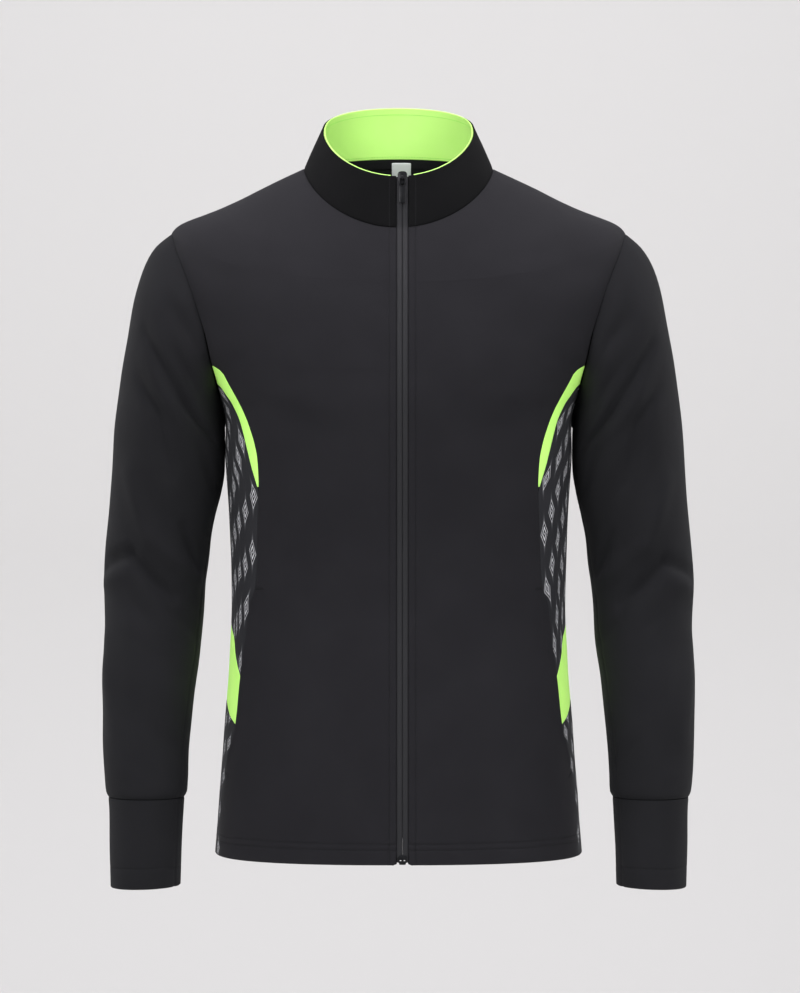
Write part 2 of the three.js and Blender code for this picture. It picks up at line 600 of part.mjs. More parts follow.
// The box that ends the chain: a block with a narrower nub below it.
function zipBox() {
  const { wide, top, foot, nub, inside, outside } = ZIP_BOX;
  const half = [
    [nub / 2, 0.05], [nub / 2, foot], [wide / 2 - 0.6, foot], [wide / 2, foot + 0.6],
    [wide / 2, top - 1.5], [wide / 2 - 1.5, top],
  ];
  const outline = [...half, ...half.map(([x, z]) => [-x, z]).reverse()];
  const shape = new THREE.Shape(outline.map(([x, z]) => new THREE.Vector2(x, z)));
  const face = frontPoint(ZIP_X, BODY, HEM_H + top / 2, 0);
  return plateXZ(shape, -outside, inside).translate(ZIP_X, face.y, HEM_H);
}

// The slider and its tab are drawn with Z along the chain and Y into the body, and then laid
// on the middle of the collar's front.
const sliderSeat = frontPoint(ZIP_X, COLLAR, SLIDER.level, 0);
const seatNormal = COLLAR_SURFACE.normal(turnAt(COLLAR, SLIDER.level, () => ZIP_X, false),
  SLIDER.level);
const SLIDER_TILT = Math.atan2(-seatNormal.z, -seatNormal.y);
const layOnChain = (g) => g.rotateX(SLIDER_TILT).translate(ZIP_X, sliderSeat.y, sliderSeat.z);

function sliderBody() {
  const plate = plateXZ(roundedRect(SLIDER.wide, SLIDER.long, 2.4), -SLIDER.plate, 0);
  const foot = 0.4;
  const base = SLIDER.plate - foot;
  const top = SLIDER.plate + BAIL.rise;
  const outline = [
    [BAIL.low, base], [BAIL.low, top - 1.2], [BAIL.low + 1.2, top], [BAIL.high - 1.2, top],
    [BAIL.high, top - 1.2], [BAIL.high, base], [BAIL.high - 1.2, base],
    [BAIL.high - 1.2, top - 1.7], [BAIL.high - 1.8, top - BAIL.bar],
    [BAIL.low + 1.8, top - BAIL.bar], [BAIL.low + BAIL.bar, top - 1.7],
    [BAIL.low + BAIL.bar, base],
  ].map(([z, out]) => new THREE.Vector2(out, z));
  const arch = extrude(new THREE.Shape(outline), SLIDER.bail);
  // The arch is drawn as (out, z) and turned so that out becomes -Y and the depth becomes X.
  const turned = new THREE.Matrix4().makeBasis(vec(0, -1, 0), vec(0, 0, 1), vec(-1, 0, 0));
  arch.applyMatrix4(turned).translate(SLIDER.bail / 2, 0, 0);
  return layOnChain(fromManifold(toManifold(plate).add(toManifold(arch))));
}

function pullTab() {
  const half = TAB.wide / 2;
  const neck = half - 0.4;
  const top = TAB.thick / 2;
  const s = new THREE.Shape([
    [-neck, top], [-neck, -TAB.eye], [-half, -TAB.eye - 2], [-half, 1.5 - TAB.long],
    [1.5 - half, -TAB.long], [half - 1.5, -TAB.long], [half, 1.5 - TAB.long],
    [half, -TAB.eye - 2], [neck, -TAB.eye], [neck, top],
  ].map(([x, z]) => new THREE.Vector2(x, z)));
  const slot = TAB.arm - 0.2;
  const eyeEnd = 0.5 - TAB.eye;
  s.holes.push(new THREE.Path([
    [-slot, -TAB.thick / 2], [slot, -TAB.thick / 2], [slot, eyeEnd], [-slot, eyeEnd],
  ].map(([x, z]) => new THREE.Vector2(x, z))));
  const g = plateXZ(s, -TAB.thick / 2, TAB.thick / 2);
  return layOnChain(g.translate(0, -TAB.axisOut, TAB.axisUp));
}

// ---------------------------------------------------------------- the jacket
const cloth = (color, roughness = 0.85) => new THREE.MeshStandardMaterial({ color, roughness });
const BLACK_KNIT = cloth('#26262a');
const NEON_KNIT = cloth('#b9f86f', 0.75);
const PRINT_KNIT = cloth('#3a3b3e', 0.8);
const ZIP_TAPE = cloth('#141416', 0.6);
const ZIP_METAL = new THREE.MeshStandardMaterial({
  color: '#5c5d60', roughness: 0.35, metalness: 0.9 });
const LABEL_CLOTH = cloth('#b6b8ba', 0.7);

const group = new THREE.Group();
function add(name, geometry, material) {
  const mesh = new THREE.Mesh(geometry, material);
  mesh.name = name;
  group.add(mesh);
}
for (const [word, side] of [['left', 1], ['right', -1]]) {
  add(`front_${word}`, front(side), BLACK_KNIT);
  add(`side_upper_${word}`, sideUpper(side), PRINT_KNIT);
  add(`side_lower_${word}`, sideLower(side), PRINT_KNIT);
  add(`hip_inset_${word}`, hipInset(side), NEON_KNIT);
  add(`underarm_inset_${word}`, underarmInset(side), NEON_KNIT);
  add(`sleeve_${word}`, sleeve(side), BLACK_KNIT);
  add(`cuff_${word}`, cuff(side), BLACK_KNIT);
  add(`zip_${word}`, zipHalf(side), ZIP_TAPE);
}
add('back', back(), BLACK_KNIT);
add('collar', collar(), BLACK_KNIT);
add('collar_lining', collarLining(), NEON_KNIT);
add('neck_label', neckLabel(), LABEL_CLOTH);
add('zip_box', zipBox(), ZIP_METAL);
add('zip_slider', sliderBody(), ZIP_METAL);
add('pull_tab', pullTab(), ZIP_METAL);

export default group;
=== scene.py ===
import math

import bmesh
import bpy
import numpy as np
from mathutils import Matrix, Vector


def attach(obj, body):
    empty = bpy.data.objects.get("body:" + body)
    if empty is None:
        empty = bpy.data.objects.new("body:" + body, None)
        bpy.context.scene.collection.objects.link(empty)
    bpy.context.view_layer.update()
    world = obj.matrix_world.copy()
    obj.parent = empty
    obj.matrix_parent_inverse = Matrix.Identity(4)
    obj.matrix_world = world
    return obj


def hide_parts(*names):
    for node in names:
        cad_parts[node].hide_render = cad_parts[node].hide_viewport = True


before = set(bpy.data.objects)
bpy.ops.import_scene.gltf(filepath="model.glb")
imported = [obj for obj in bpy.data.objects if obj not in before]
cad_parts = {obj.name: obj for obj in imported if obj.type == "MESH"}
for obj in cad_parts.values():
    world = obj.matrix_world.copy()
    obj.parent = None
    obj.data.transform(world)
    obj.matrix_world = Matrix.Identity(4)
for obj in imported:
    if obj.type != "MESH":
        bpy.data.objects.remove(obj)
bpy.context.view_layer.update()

# A running jacket of stretch knit, filled out and hollow. The tables are in millimetres and
# MM turns them into metres. The front faces -Y and +X is the wearer's left.
MM = 0.001
JACKET = "jacket"
TAB_BODY = "tab"

# ---------------------------------------------------------------- camera, floor and light
VIEW_DISTANCE = 3.2
VIEW_WIDTH = 0.8152           # what the camera sees across, at the middle of the jacket
EYE = (0.0015, -VIEW_DISTANCE, -0.3307)
FLOOR_Z = -1.45


def put_in_scene(name, data):
    thing = bpy.data.objects.new(name, data)
    bpy.context.scene.collection.objects.link(thing)
    return thing


def make_camera():
    data = bpy.data.cameras.new("camera")
    data.sensor_fit = "HORIZONTAL"
    data.sensor_width = 36
    data.lens = data.sensor_width * VIEW_DISTANCE / VIEW_WIDTH
    camera = put_in_scene("camera", data)
    camera.location = EYE
    camera.rotation_euler = (math.pi / 2, 0, 0)
    bpy.context.scene.camera = camera


make_camera()

# ---------------------------------------------------------------- driving sizes
WALL = 1.5
HEM_WALL = 2.4
HEM_DEPTH = 20
CUFF_WALL = 2.0
LINING_WALL = 1.2
HEM_H = -691
UNDERARM_H = -242
SHOULDER_H = -67
NECK_H = 84
ZIP_X = 3.9
FOLD_X = 6.6


class Table:
    """Rows under named columns, read smoothly and without overshoot by the first column."""

    def __init__(self, columns, rows):
        rows = np.array(rows, float)
        self.keys = rows[:, 0]
        self.values = {name: rows[:, i] for i, name in enumerate(columns) if i}
        self.slopes = {name: self.slope(y) for name, y in self.values.items()}

    def slope(self, y):
        step = np.diff(self.keys)
        rise = np.diff(y) / step
        m = np.zeros(len(y))
        m[0], m[-1] = rise[0], rise[-1]
        for i in range(1, len(y) - 1):
            if rise[i - 1] * rise[i] > 0:
                a = 2 * step[i] + step[i - 1]
                b = step[i] + 2 * step[i - 1]
                m[i] = (a + b) / (a / rise[i - 1] + b / rise[i])
        return m

    def at(self, name, key):
        k = np.clip(key, self.keys[0], self.keys[-1])
        i = np.clip(np.searchsorted(self.keys, k, side="right") - 1, 0, len(self.keys) - 2)
        h = self.keys[i + 1] - self.keys[i]
        t = (k - self.keys[i]) / h
        y, m = self.values[name], self.slopes[name]
        return ((2 * t**3 - 3 * t**2 + 1) * y[i] + (t**3 - 2 * t**2 + t) * h * m[i]
                + (3 * t**2 - 2 * t**3) * y[i + 1] + (t**3 - t**2) * h * m[i + 1])


RING = ["half", "ySide", "yFront", "yBack", "zSide", "zFront", "zBack", "square", "drop",
        "lag"]

# The body, one row for each ring: level below the armhole, and climbing from the front over
# the shoulder to the back above it. The last ring is the neck seam.
BODY = Table(["h", *RING], [
    [HEM_H, 186.5, 0, -130, 122, HEM_H, HEM_H, HEM_H, 2.35, 1.5, 1.5],
    [-640, 182.5, 0, -129, 119, -640, -640, -640, 2.35, 1.5, 1.5],
    [-560, 177.0, 0, -124, 108, -560, -560, -560, 2.35, 1.5, 1.5],
    [-500, 172.0, 0, -118, 99, -500, -500, -500, 2.35, 1.5, 1.5],
    [-440, 170.0, 0, -113, 93, -440, -440, -440, 2.35, 1.5, 1.5],
    [-380, 171.0, 2, -114, 96, -380, -380, -380, 2.35, 1.5, 1.5],
    [-330, 173.4, 4, -120, 103, -330, -330, -330, 2.35, 1.5, 1.5],
    [-292, 177.0, 6, -125, 108, -292, -292, -292, 2.35, 1.5, 1.5],
    [-265, 176.6, 7, -128, 112, -265, -265, -265, 2.35, 1.5, 1.5],
    [UNDERARM_H, 173.6, 8, -130, 115, -242, -243, -242, 2.35, 1.5, 1.5],
    [-227, 183.0, 8, -130, 116.5, -227, -230, -228, 2.35, 1.5, 1.5],
    [-194, 200.5, 8, -128, 118, -194, -202, -197, 2.32, 1.5, 1.5],
    [-150, 223.0, 8, -122, 117, -150, -168, -156, 2.25, 1.5, 1.5],
    [-110, 230.0, 8, -115, 112, -104, -142, -119, 2.15, 1.45, 1.45],
    [SHOULDER_H, 240.0, 8, -107, 104, -54, -118, -80, 2.05, 1.4, 1.4],
    [-30, 209.0, 8, -100, 94, -50, -102, -52, 2.0, 1.35, 1.35],
    [8, 164.0, 8, -93, 83.5, -28, -88, -27, 2.05, 1.35, 1.35],
    [46, 130.0, 8, -85.5, 72.5, -11.5, -75, -4, 2.0, 1.3, 1.3],
    [NECK_H, 96.5, 8, -78, 62, 4, -63, 18, 2.0, 1.3, 1.3],
])
# The collar, from the neck seam (level 0) to its rim (level 1).
COLLAR = Table(["level", *RING], [
    [0, 96.5, 8, -78, 62, 4, -63, 18, 2.0, 1.3, 1.3],
    [0.5, 88, 5, -74.5, 58, 22.5, -37, 44.5, 2.0, 1.25, 1.0],
    [1, 77, 1, -70.5, 53, 42, -10.5, 71, 2.0, 1.15, 0.7],
])
# Half width of the body along its seams, by height.
ARM_EDGE = Table(["z", "x"], [
    [UNDERARM_H, 177.8], [-227, 181.6], [-194, 188.5], [-169, 194], [-150, 200],
    [-124.6, 208.2], [-101.6, 217.2], [-82, 225], [-62.3, 231.5],
])
FRONT_SEAM = Table(["z", "x"], [
    [HEM_H, 180], [-648, 179], [-623, 176], [-593, 171.5], [-560, 163], [-514, 158],
    [-475, 153], [-434, 147.5], [-424, 143.5], [-374, 141], [-324, 139], [-294, 140.5],
    [-278, 143.5], [-262, 148.8], [-246, 155.5], [-230, 163.5], [-214, 173], [-206, 178.5],
    [-202.5, 182.5], [-199, 188], [-190, 205], [-150, 280],
])
INSET_SEAM = Table(["z", "x"], [
    [-324, 139.4], [-313, 143.0], [-302, 146.5], [-286, 150.5], [-270, 154.5], [-254, 159.5],
    [UNDERARM_H, 165], [-236, 168.3], [-230, 172.6], [-222, 178.6], [-216.5, 185],
])
BACK_SEAM = Table(["z", "x"], [
    [HEM_H, 176], [-623, 170], [-560, 160], [-475, 152], [-424, 147], [-374, 146],
    [-300, 155], [-268, 166], [UNDERARM_H, 177.6],
])
# The hip inset's upper and lower edge, from the front seam (across 0) to the back seam (1).
HIP = Table(["across", "top", "bottom"], [
    [0, -513, -559.5], [0.14, -490, -551], [0.22, -472, -545], [0.5, -459, -529], [1, -453, -482],
])
SECTION = ["xOut", "zOut", "xIn", "zIn", "yMid", "deep"]
SLEEVE = Table(["depth", *SECTION], [
    [154, 231.0, -62.5, 177.8, -242, 2, 59],
    [168, 247.0, -76, 177.7, -254, 0, 64],
    [190, 262.5, -106, 177.0, -268, -1, 66],
    [218, 272.5, -150, 176.9, -285, -1, 66],
    [250, 280.5, -197, 177.5, -304, 0, 64],
    [285, 287.0, -243, 180.9, -327, 1, 62],
    [318, 291.0, -286, 186.2, -350, 2, 59.5],
    [354, 294.0, -334, 191.0, -374, 3, 57],
    [390, 298.5, -382, 193.5, -398, 3, 55],
    [420, 300.5, -419, 196.5, -421, 1, 53.5],
    [468, 298.0, -468, 199.3, -468, -7, 51],
    [516, 300.0, -516, 205.0, -516, -18, 48],
    [564, 298.5, -564, 209.6, -564, -29, 45],
    [611, 295.5, -611, 212.0, -611, -39, 42.5],
    [626, 294.0, -626, 212.5, -626, -42, 41.5],
    [632, 291.5, -632, 215.0, -632, -43.5, 39],
])
CUFF = Table(["depth", *SECTION], [
    [0, 291.5, -632.3, 215.0, -632.3, -43.5, 39],
    [10, 290.6, -642, 215.6, -642, -45.5, 37.8],
    [46, 289.6, -680, 217.0, -679, -51, 36.4],
    [84, 288.0, -720, 218.2, -718, -57, 35.6],
])
SLEEVE_TOP, SLEEVE_END = 154, 632
CUFF_LONG = 84


# ---------------------------------------------------------------- surfaces
def mix(a, b, t):
    return a + (b - a) * t


def smooth(a, b, x):
    t = np.clip((x - a) / (b - a), 0, 1)
    return t * t * (3 - 2 * t)


def unit(v):
    return v / np.maximum(np.linalg.norm(v, axis=-1, keepdims=True), 1e-12)


def ring_point(rings, turn, key):
    """Point of a ring at an angle from the middle of the front, over the side, to the back."""
    across = np.sin(turn)
    along = np.abs(np.cos(turn))
    power = rings.at("square", key)
    share = (np.abs(across) ** power + along ** power) ** (-1 / power)
    front = turn <= math.pi / 2
    y_mid = np.where(front, rings.at("yFront", key), rings.at("yBack", key))
    z_mid = np.where(front, rings.at("zFront", key), rings.at("zBack", key))
    bend = np.where(front, rings.at("drop", key), rings.at("lag", key))
    toward = share * along
    return np.stack([
        rings.at("half", key) * share * across,
        mix(rings.at("ySide", key), y_mid, toward),
        mix(rings.at("zSide", key), z_mid, toward ** bend),
    ], -1)


SPAN = [-1, -0.5, 0, 0.5, 1]
SPAN_WEIGHTS = [1 / 9, 2 / 9, 3 / 9, 2 / 9, 1 / 9]


def body_point(turn, h):
    """The body's rings, softened over the shoulders and under the arms."""
    longest = mix(26, 40, smooth(-200, -120, h)) * (1 + 0.8 * np.sin(2 * turn) ** 2)
    reach = np.minimum(longest * smooth(-440, -330, h), 0.6 * (NECK_H - h))
    return sum(w * ring_point(BODY, turn, h + s * reach) for s, w in zip(SPAN, SPAN_WEIGHTS))


class Surface:
    """Points and outward normals from an angle and a level, both arrays."""

    def __init__(self, point, low, high, step_a, step_b):
        self.at, self.low, self.high = point, low, high
        self.step_a, self.step_b = step_a, step_b

    def point(self, a, b):
        a, b = np.broadcast_arrays(np.asarray(a, float), np.asarray(b, float))
        return self.at(a, b)

    def normal(self, a, b):
        along_a = self.point(a + self.step_a, b) - self.point(a - self.step_a, b)
        up = np.minimum(b + self.step_b, self.high)
        down = np.maximum(b - self.step_b, self.low)
        return unit(np.cross(along_a, self.point(a, up) - self.point(a, down)))


def lay(face, turns, levels, flip=1.0):
    """Grids of points and normals from turns and levels, one level for each row if flat."""
    if levels.ndim < turns.ndim:
        levels = np.broadcast_to(levels[:, None], turns.shape)
    return levels, face.point(turns, levels) * flip, face.normal(turns, levels) * flip


def mirror_flip(sign):
    return np.stack(np.broadcast_arrays(sign, 1.0, 1.0), -1)


BODY_FACE = Surface(body_point, HEM_H, NECK_H, 0.01, 2)
COLLAR_FACE = Surface(lambda a, b: ring_point(COLLAR, a, b), 0, 1, 0.01, 0.02)


def turn_at(face, key, half_width, on_back=False):
    """Angle at which the rings reach a half width that depends on height."""
    key = np.asarray(key, float)
    low = np.full(key.shape, math.pi / 2 if on_back else 0.0)
    high = low + math.pi / 2
    for _ in range(40):
        middle = (low + high) / 2
        p = face.point(middle, key)
        beyond = (p[..., 0] > half_width(p[..., 2])) == on_back
        low = np.where(beyond, middle, low)
        high = np.where(beyond, high, middle)
    return (low + high) / 2


def seam_turn(seam, h, on_back=False):
    return turn_at(BODY_FACE, h, lambda z: seam.at("x", z), on_back)


def armhole_turn(h, on_back):
    h = np.asarray(h, float)
    open_part = (h > UNDERARM_H) & (h < SHOULDER_H)
    return np.where(open_part, seam_turn(ARM_EDGE, h, on_back), math.pi / 2)


ARMHOLE_MIDDLE = (UNDERARM_H + SHOULDER_H) / 2
ARMHOLE_HALF = (SHOULDER_H - UNDERARM_H) / 2


def armhole_h(angle):
    return ARMHOLE_MIDDLE + ARMHOLE_HALF * np.cos(angle)


def armhole(angle):
    """The armhole, from the shoulder tip (0) over the front to the underarm (pi) and back."""
    h = armhole_h(angle)
    turn = np.where(angle > math.pi, armhole_turn(h, True), armhole_turn(h, False))
    return BODY_FACE.point(turn, h), BODY_FACE.normal(turn, h)


ARMHOLE_STEPS = 720
ARMHOLE_ANGLES = np.linspace(0, 2 * math.pi, ARMHOLE_STEPS + 1)
ARMHOLE_POINTS, ARMHOLE_NORMALS = armhole(ARMHOLE_ANGLES)


def armhole_values(values, angle):
    return np.stack([np.interp(angle, ARMHOLE_ANGLES, values[:, i]) for i in range(3)], -1)


def section_point(sections, angle, depth):
    swing = (1 + np.cos(angle)) / 2
    return np.stack([
        mix(sections.at("xIn", depth), sections.at("xOut", depth), swing),
        sections.at("yMid", depth) - sections.at("deep", depth) * np.sin(angle),
        mix(sections.at("zIn", depth), sections.at("zOut", depth), swing),
    ], -1)


SLEEVE_SETTLES = 60


def sleeve_point(angle, depth):
    angle = np.mod(angle, 2 * math.pi)
    settle = 1 - smooth(0, SLEEVE_SETTLES, depth - SLEEVE_TOP)
    start = section_point(SLEEVE, angle, np.full_like(depth, SLEEVE_TOP))
    shift = armhole_values(ARMHOLE_POINTS, angle) - start
    return section_point(SLEEVE, angle, depth) + shift * settle[..., None]


SLEEVE_FACE = Surface(sleeve_point, SLEEVE_TOP, SLEEVE_END, 0.03, 2)
CUFF_FACE = Surface(lambda a, d: section_point(CUFF, a, d), 0, CUFF_LONG, 0.03, 2)


# ---------------------------------------------------------------- folds of the cloth
# A fold is a soft line between two places, a crease where its height is below 0. On a sleeve
# a place is an angle in degrees, from the outer side over the front, and a depth down the arm.
SLEEVE_FOLDS = Table(["row", "turn0", "depth0", "turn1", "depth1", "width", "height"], [
    [0, 66, 176, 104, 160, 6.3, -5.2],
    [1, 50, 214, 104, 222, 7.2, -6.1],
    [2, 104, 222, 138, 220, 7.2, -6.7],
    [3, 52, 248, 78, 258, 6.3, -3.8],
    [4, 78, 258, 96, 304, 8.1, -4.6],
    [5, 18, 404, 64, 391, 5.4, -5.8],
    [6, 64, 391, 116, 432, 6.3, -6.7],
    [7, 54, 326, 86, 374, 10.8, 4.9],
    [8, 86, 374, 150, 412, 10.8, 4.9],
    [9, 122, 352, 146, 396, 6.3, -4.6],
    [10, 24, 476, 44, 560, 13.5, 3.2],
    [11, 250, 388, 318, 418, 9, -5.2],
    [12, 232, 224, 300, 214, 9, -5.2],
    [13, 20, 420, 60, 408, 8.1, 3.2],
    [14, 118, 446, 152, 470, 7.2, -2.6],
    [15, 60, 434, 100, 462, 9, -2.3],
    [16, 84, 196, 118, 190, 5.4, -2.9],
    [17, 70, 236, 112, 246, 6.3, 2.3],
    [18, 128, 250, 150, 284, 7.2, -3.2],
    [19, 96, 560, 148, 592, 8.1, -1.7],
    [20, 40, 600, 96, 612, 7.2, 1.4],
    [21, 270, 452, 330, 436, 9, -3.2],
    [22, 240, 520, 300, 560, 12.6, 2.6],
    [23, 258, 262, 320, 250, 8.1, -3.2],
    [24, 300, 600, 350, 592, 8.1, -1.7],
])
# On the body a place is X and Z on the front or, with face 1, on the back. Both halves have it.
BODY_FOLDS = Table(["row", "x0", "z0", "x1", "z1", "width", "height", "face"], [
    [0, 70, -268, 142, -246, 16, -1.6, 0],
    [1, 64, -250, 138, -222, 18, 1.2, 0],
    [2, 150, -186, 184, -214, 9, -1.5, 0],
    [3, 60, -410, 132, -392, 16, -0.9, 0],
    [4, 40, -560, 120, -640, 24, 1.0, 0],
    [5, 74, -560, 150, -640, 20, -0.9, 0],
    [6, 150, -120, 205, -100, 12, -0.9, 0],
    [7, 60, -350, 134, -330, 20, 0.8, 0],
    [8, 40, -420, 140, -400, 12, -2.2, 1],
    [9, 20, -452, 132, -440, 10, -2.0, 1],
    [10, 30, -388, 120, -372, 14, 1.8, 1],
    [11, 130, -170, 182, -205, 10, -2.2, 1],
    [12, 122, -205, 176, -226, 9, -1.8, 1],
    [13, 60, -560, 130, -620, 20, 1.4, 1],
    [14, 0, -96, 60, -84, 22, -1.0, 1],
])


def fold_rise(table, across, down, names, scale=1.0, share=None):
    """The sum of a table's folds at places across and down the cloth."""
    rise = np.zeros(np.broadcast(across, down).shape)
    for row, height in enumerate(table.values["height"]):
        a0, d0, a1, d1 = (table.values[name][row] for name in names)
        line_a, line_d = (a1 - a0) * scale, d1 - d0
        off_a, off_d = (across - a0) * scale, down - d0
        t = np.clip((off_a * line_a + off_d * line_d) / (line_a**2 + line_d**2), 0, 1)
        away = np.hypot(off_a - t * line_a, off_d - t * line_d)
        taper = 0.5 + 0.5 * np.sin(math.pi * np.clip(t, 0.06, 0.94))
        bump = height * taper * np.exp(-((away / table.values["width"][row]) ** 2))
        rise += bump if share is None else bump * share(row)
    return rise


def ripple(a, b, seed, size):
    """A shallow unevenness from a few crossed waves, the same each run."""
    rng = np.random.default_rng(seed)
    total = np.zeros(np.broadcast(a, b).shape)
    for _ in range(7):
        heading = rng.uniform(0, 2 * math.pi)
        length = size * rng.uniform(0.7, 1.8)
        phase = rng.uniform(0, 2 * math.pi)
        total += np.sin((a * math.cos(heading) + b * math.sin(heading)) / length * 6.28 + phase)
    return total / 7


def body_rise(points):
    x, y, z = points[..., 0], points[..., 1], points[..., 2]
    on_front = smooth(30, -10, y)
    faces = BODY_FOLDS.values["face"]
    folds = fold_rise(BODY_FOLDS, np.abs(x), z, ("x0", "z0", "x1", "z1"),
                      share=lambda row: on_front if faces[row] == 0 else 1 - on_front)
    calm = smooth(6, 26, np.abs(x - ZIP_X) + 40 * (1 - on_front)) * smooth(HEM_H, HEM_H + 60, z)
    return calm * (folds + 0.7 * ripple(x + 0.4 * y, z, 5, 95))


# ---------------------------------------------------------------- walls of cloth
# Distances from a piece's edge, in millimetres, at which it has its first rows of points.
EDGE_STEPS = (0.12, 0.8, 1.7, 3.0, 5.0)
ZIP_EDGE_STEPS = (0, 0.6, 1.6, 3.2, 4.8, 5.7, 6.1, 6.4, 6.7, 7.1, 8.2)
HEM_ROWS = (0.0, 0.6, 1.6, 3.2, 6, 9, 11.6, 12.9, 13.5, 14, 14.5, 15.1, 17, 18.9, 19.5, 20, 20.5,
            21.1, 23.5)
CLOTH_STEP = 4.6
SEAM_DIP = 0.35
SEAM_DIP_WIDTH = 1.6
STITCH_DIP = 0.4
STITCH_DIP_WIDTH = 0.7
FOLD_STITCH = 6.4             # from the folded edge at the zip
ZIP_STITCH = 13               # from the zip's middle
HEM_STITCH = 14               # the lower of the hem's two rows, from the hem
FREE_ROUND = 0.5
SEAM_ROUND = 0.08


def steps_over(width, count, start=EDGE_STEPS, end=EDGE_STEPS):
    """Places across each width, 0 to 1, close together at both ends."""
    width = np.asarray(width, float)[..., None]
    near = np.array(start) * np.minimum(1, 0.4 * width / max(start[-1], 1)) / width
    far = 1 - np.array(end)[::-1] * np.minimum(1, 0.4 * width / max(end[-1], 1)) / width
    inner = np.linspace(0, 1, count + 2)[1:-1]
    between = near[..., -1:] + (far[..., :1] - near[..., -1:]) * inner
    return np.concatenate([near, between, far], -1)


def lengths(points, axis):
    gaps = np.linalg.norm(np.diff(points, axis=axis), axis=-1)
    zero = np.zeros_like(np.take(gaps, [0], axis=axis))
    return np.concatenate([zero, np.cumsum(gaps, axis=axis)], axis=axis)


def seam_dip(points, seams, closed):
    """How far the outer face sinks beside its sewn edges: first and last row, left, right.
    Each is 0 to 1, or a column or row of such numbers."""
    down = lengths(points, 0)
    sides = [(down, seams[0]), (down[-1:] - down, seams[1])]
    if not closed:
        along = lengths(points, 1)
        sides += [(along, seams[2]), (along[:, -1:] - along, seams[3])]
    dip = np.zeros(points.shape[:2])
    for distance, sewn in sides:
        dip = np.maximum(dip, sewn * np.exp(-((distance / SEAM_DIP_WIDTH) ** 2)))
    return SEAM_DIP * dip


def groove(distance, depth=STITCH_DIP, width=STITCH_DIP_WIDTH):
    """How a row of stitches pulls the cloth in, from the distance to it."""
    return -depth * np.exp(-((distance / width) ** 2))


def face_outward(mesh):
    work = bmesh.new()
    work.from_mesh(mesh)
    bmesh.ops.recalc_face_normals(work, faces=work.faces)
    work.to_mesh(mesh)
    work.free()
    mesh.shade_smooth()


def mesh_object(name, points, faces, corner_uv=None):
    mesh = bpy.data.meshes.new(name)
    mesh.from_pydata((np.asarray(points) * MM).tolist(), [], np.asarray(faces).tolist())
    if corner_uv is not None:
        layer = mesh.uv_layers.new(name="cloth")
        layer.data.foreach_set("uv", (corner_uv.reshape(-1, 2) * MM).ravel())
    face_outward(mesh)
    return put_in_scene(name, mesh)


def shell(name, outer, inner, uv, closed, rounds):
    """A closed wall between two grids of points. uv has a last column more than a closed
    grid, and rounds says how far each rim bulges."""
    rows, cols = outer.shape[:2]
    count = rows * cols
    index = np.arange(count).reshape(rows, cols)
    if closed:
        index = np.concatenate([index, index[:, :1]], 1)
    where = np.arange(uv.shape[0] * uv.shape[1]).reshape(uv.shape[:2])

    def cells(grid):
        corners = [grid[:-1, :-1], grid[:-1, 1:], grid[1:, 1:], grid[1:, :-1]]
        return np.stack(corners, -1).reshape(-1, 4)

    def edge(grid):
        if closed:
            return [grid[0], grid[-1]]
        return [np.concatenate([grid[0, :-1], grid[:-1, -1], grid[-1, :0:-1], grid[::-1, 0]])]
    faces = [cells(index), cells(index)[:, ::-1] + count]
    corners = [cells(where), cells(where)[:, ::-1]]
    flat_out, flat_in = outer.reshape(-1, 3), inner.reshape(-1, 3)
    points = [flat_out, flat_in]
    start = 2 * count
    for number, (loop, loop_uv) in enumerate(zip(edge(index), edge(where))):
        ring = loop[:-1]
        i, j = np.divmod(ring, cols)
        back_i = np.clip(i, 1, rows - 2)
        back_j = j if closed else np.clip(j, 1, cols - 2)
        back = back_i * cols + back_j
        if closed:
            bulge = np.full(len(ring), rounds[number], float)
        else:
            bulge = np.maximum.reduce([
                np.where(i == 0, rounds[0], 0), np.where(i == rows - 1, rounds[1], 0),
                np.where(j == 0, rounds[2], 0), np.where(j == cols - 1, rounds[3], 0)])
        thick = np.linalg.norm(flat_out[ring] - flat_in[ring], axis=1, keepdims=True)
        away = unit((flat_out[ring] + flat_in[ring]) - (flat_out[back] + flat_in[back]))
        points.append((flat_out[ring] + flat_in[ring]) / 2 + away * thick * bulge[:, None])
        middle = start + np.append(np.arange(len(ring)), 0)
        start += len(ring)
        a, b = loop[:-1], loop[1:]
        m, n = middle[:-1], middle[1:]
        faces += [np.stack([a, m, n, b], -1), np.stack([m, a + count, b + count, n], -1)]
        u, v = loop_uv[:-1], loop_uv[1:]
        corners += [np.stack([u, u, v, v], -1)] * 2
    corner_uv = uv.reshape(-1, 2)[np.concatenate(corners)]
    return mesh_object(name, np.concatenate(points), np.concatenate(faces), corner_uv)


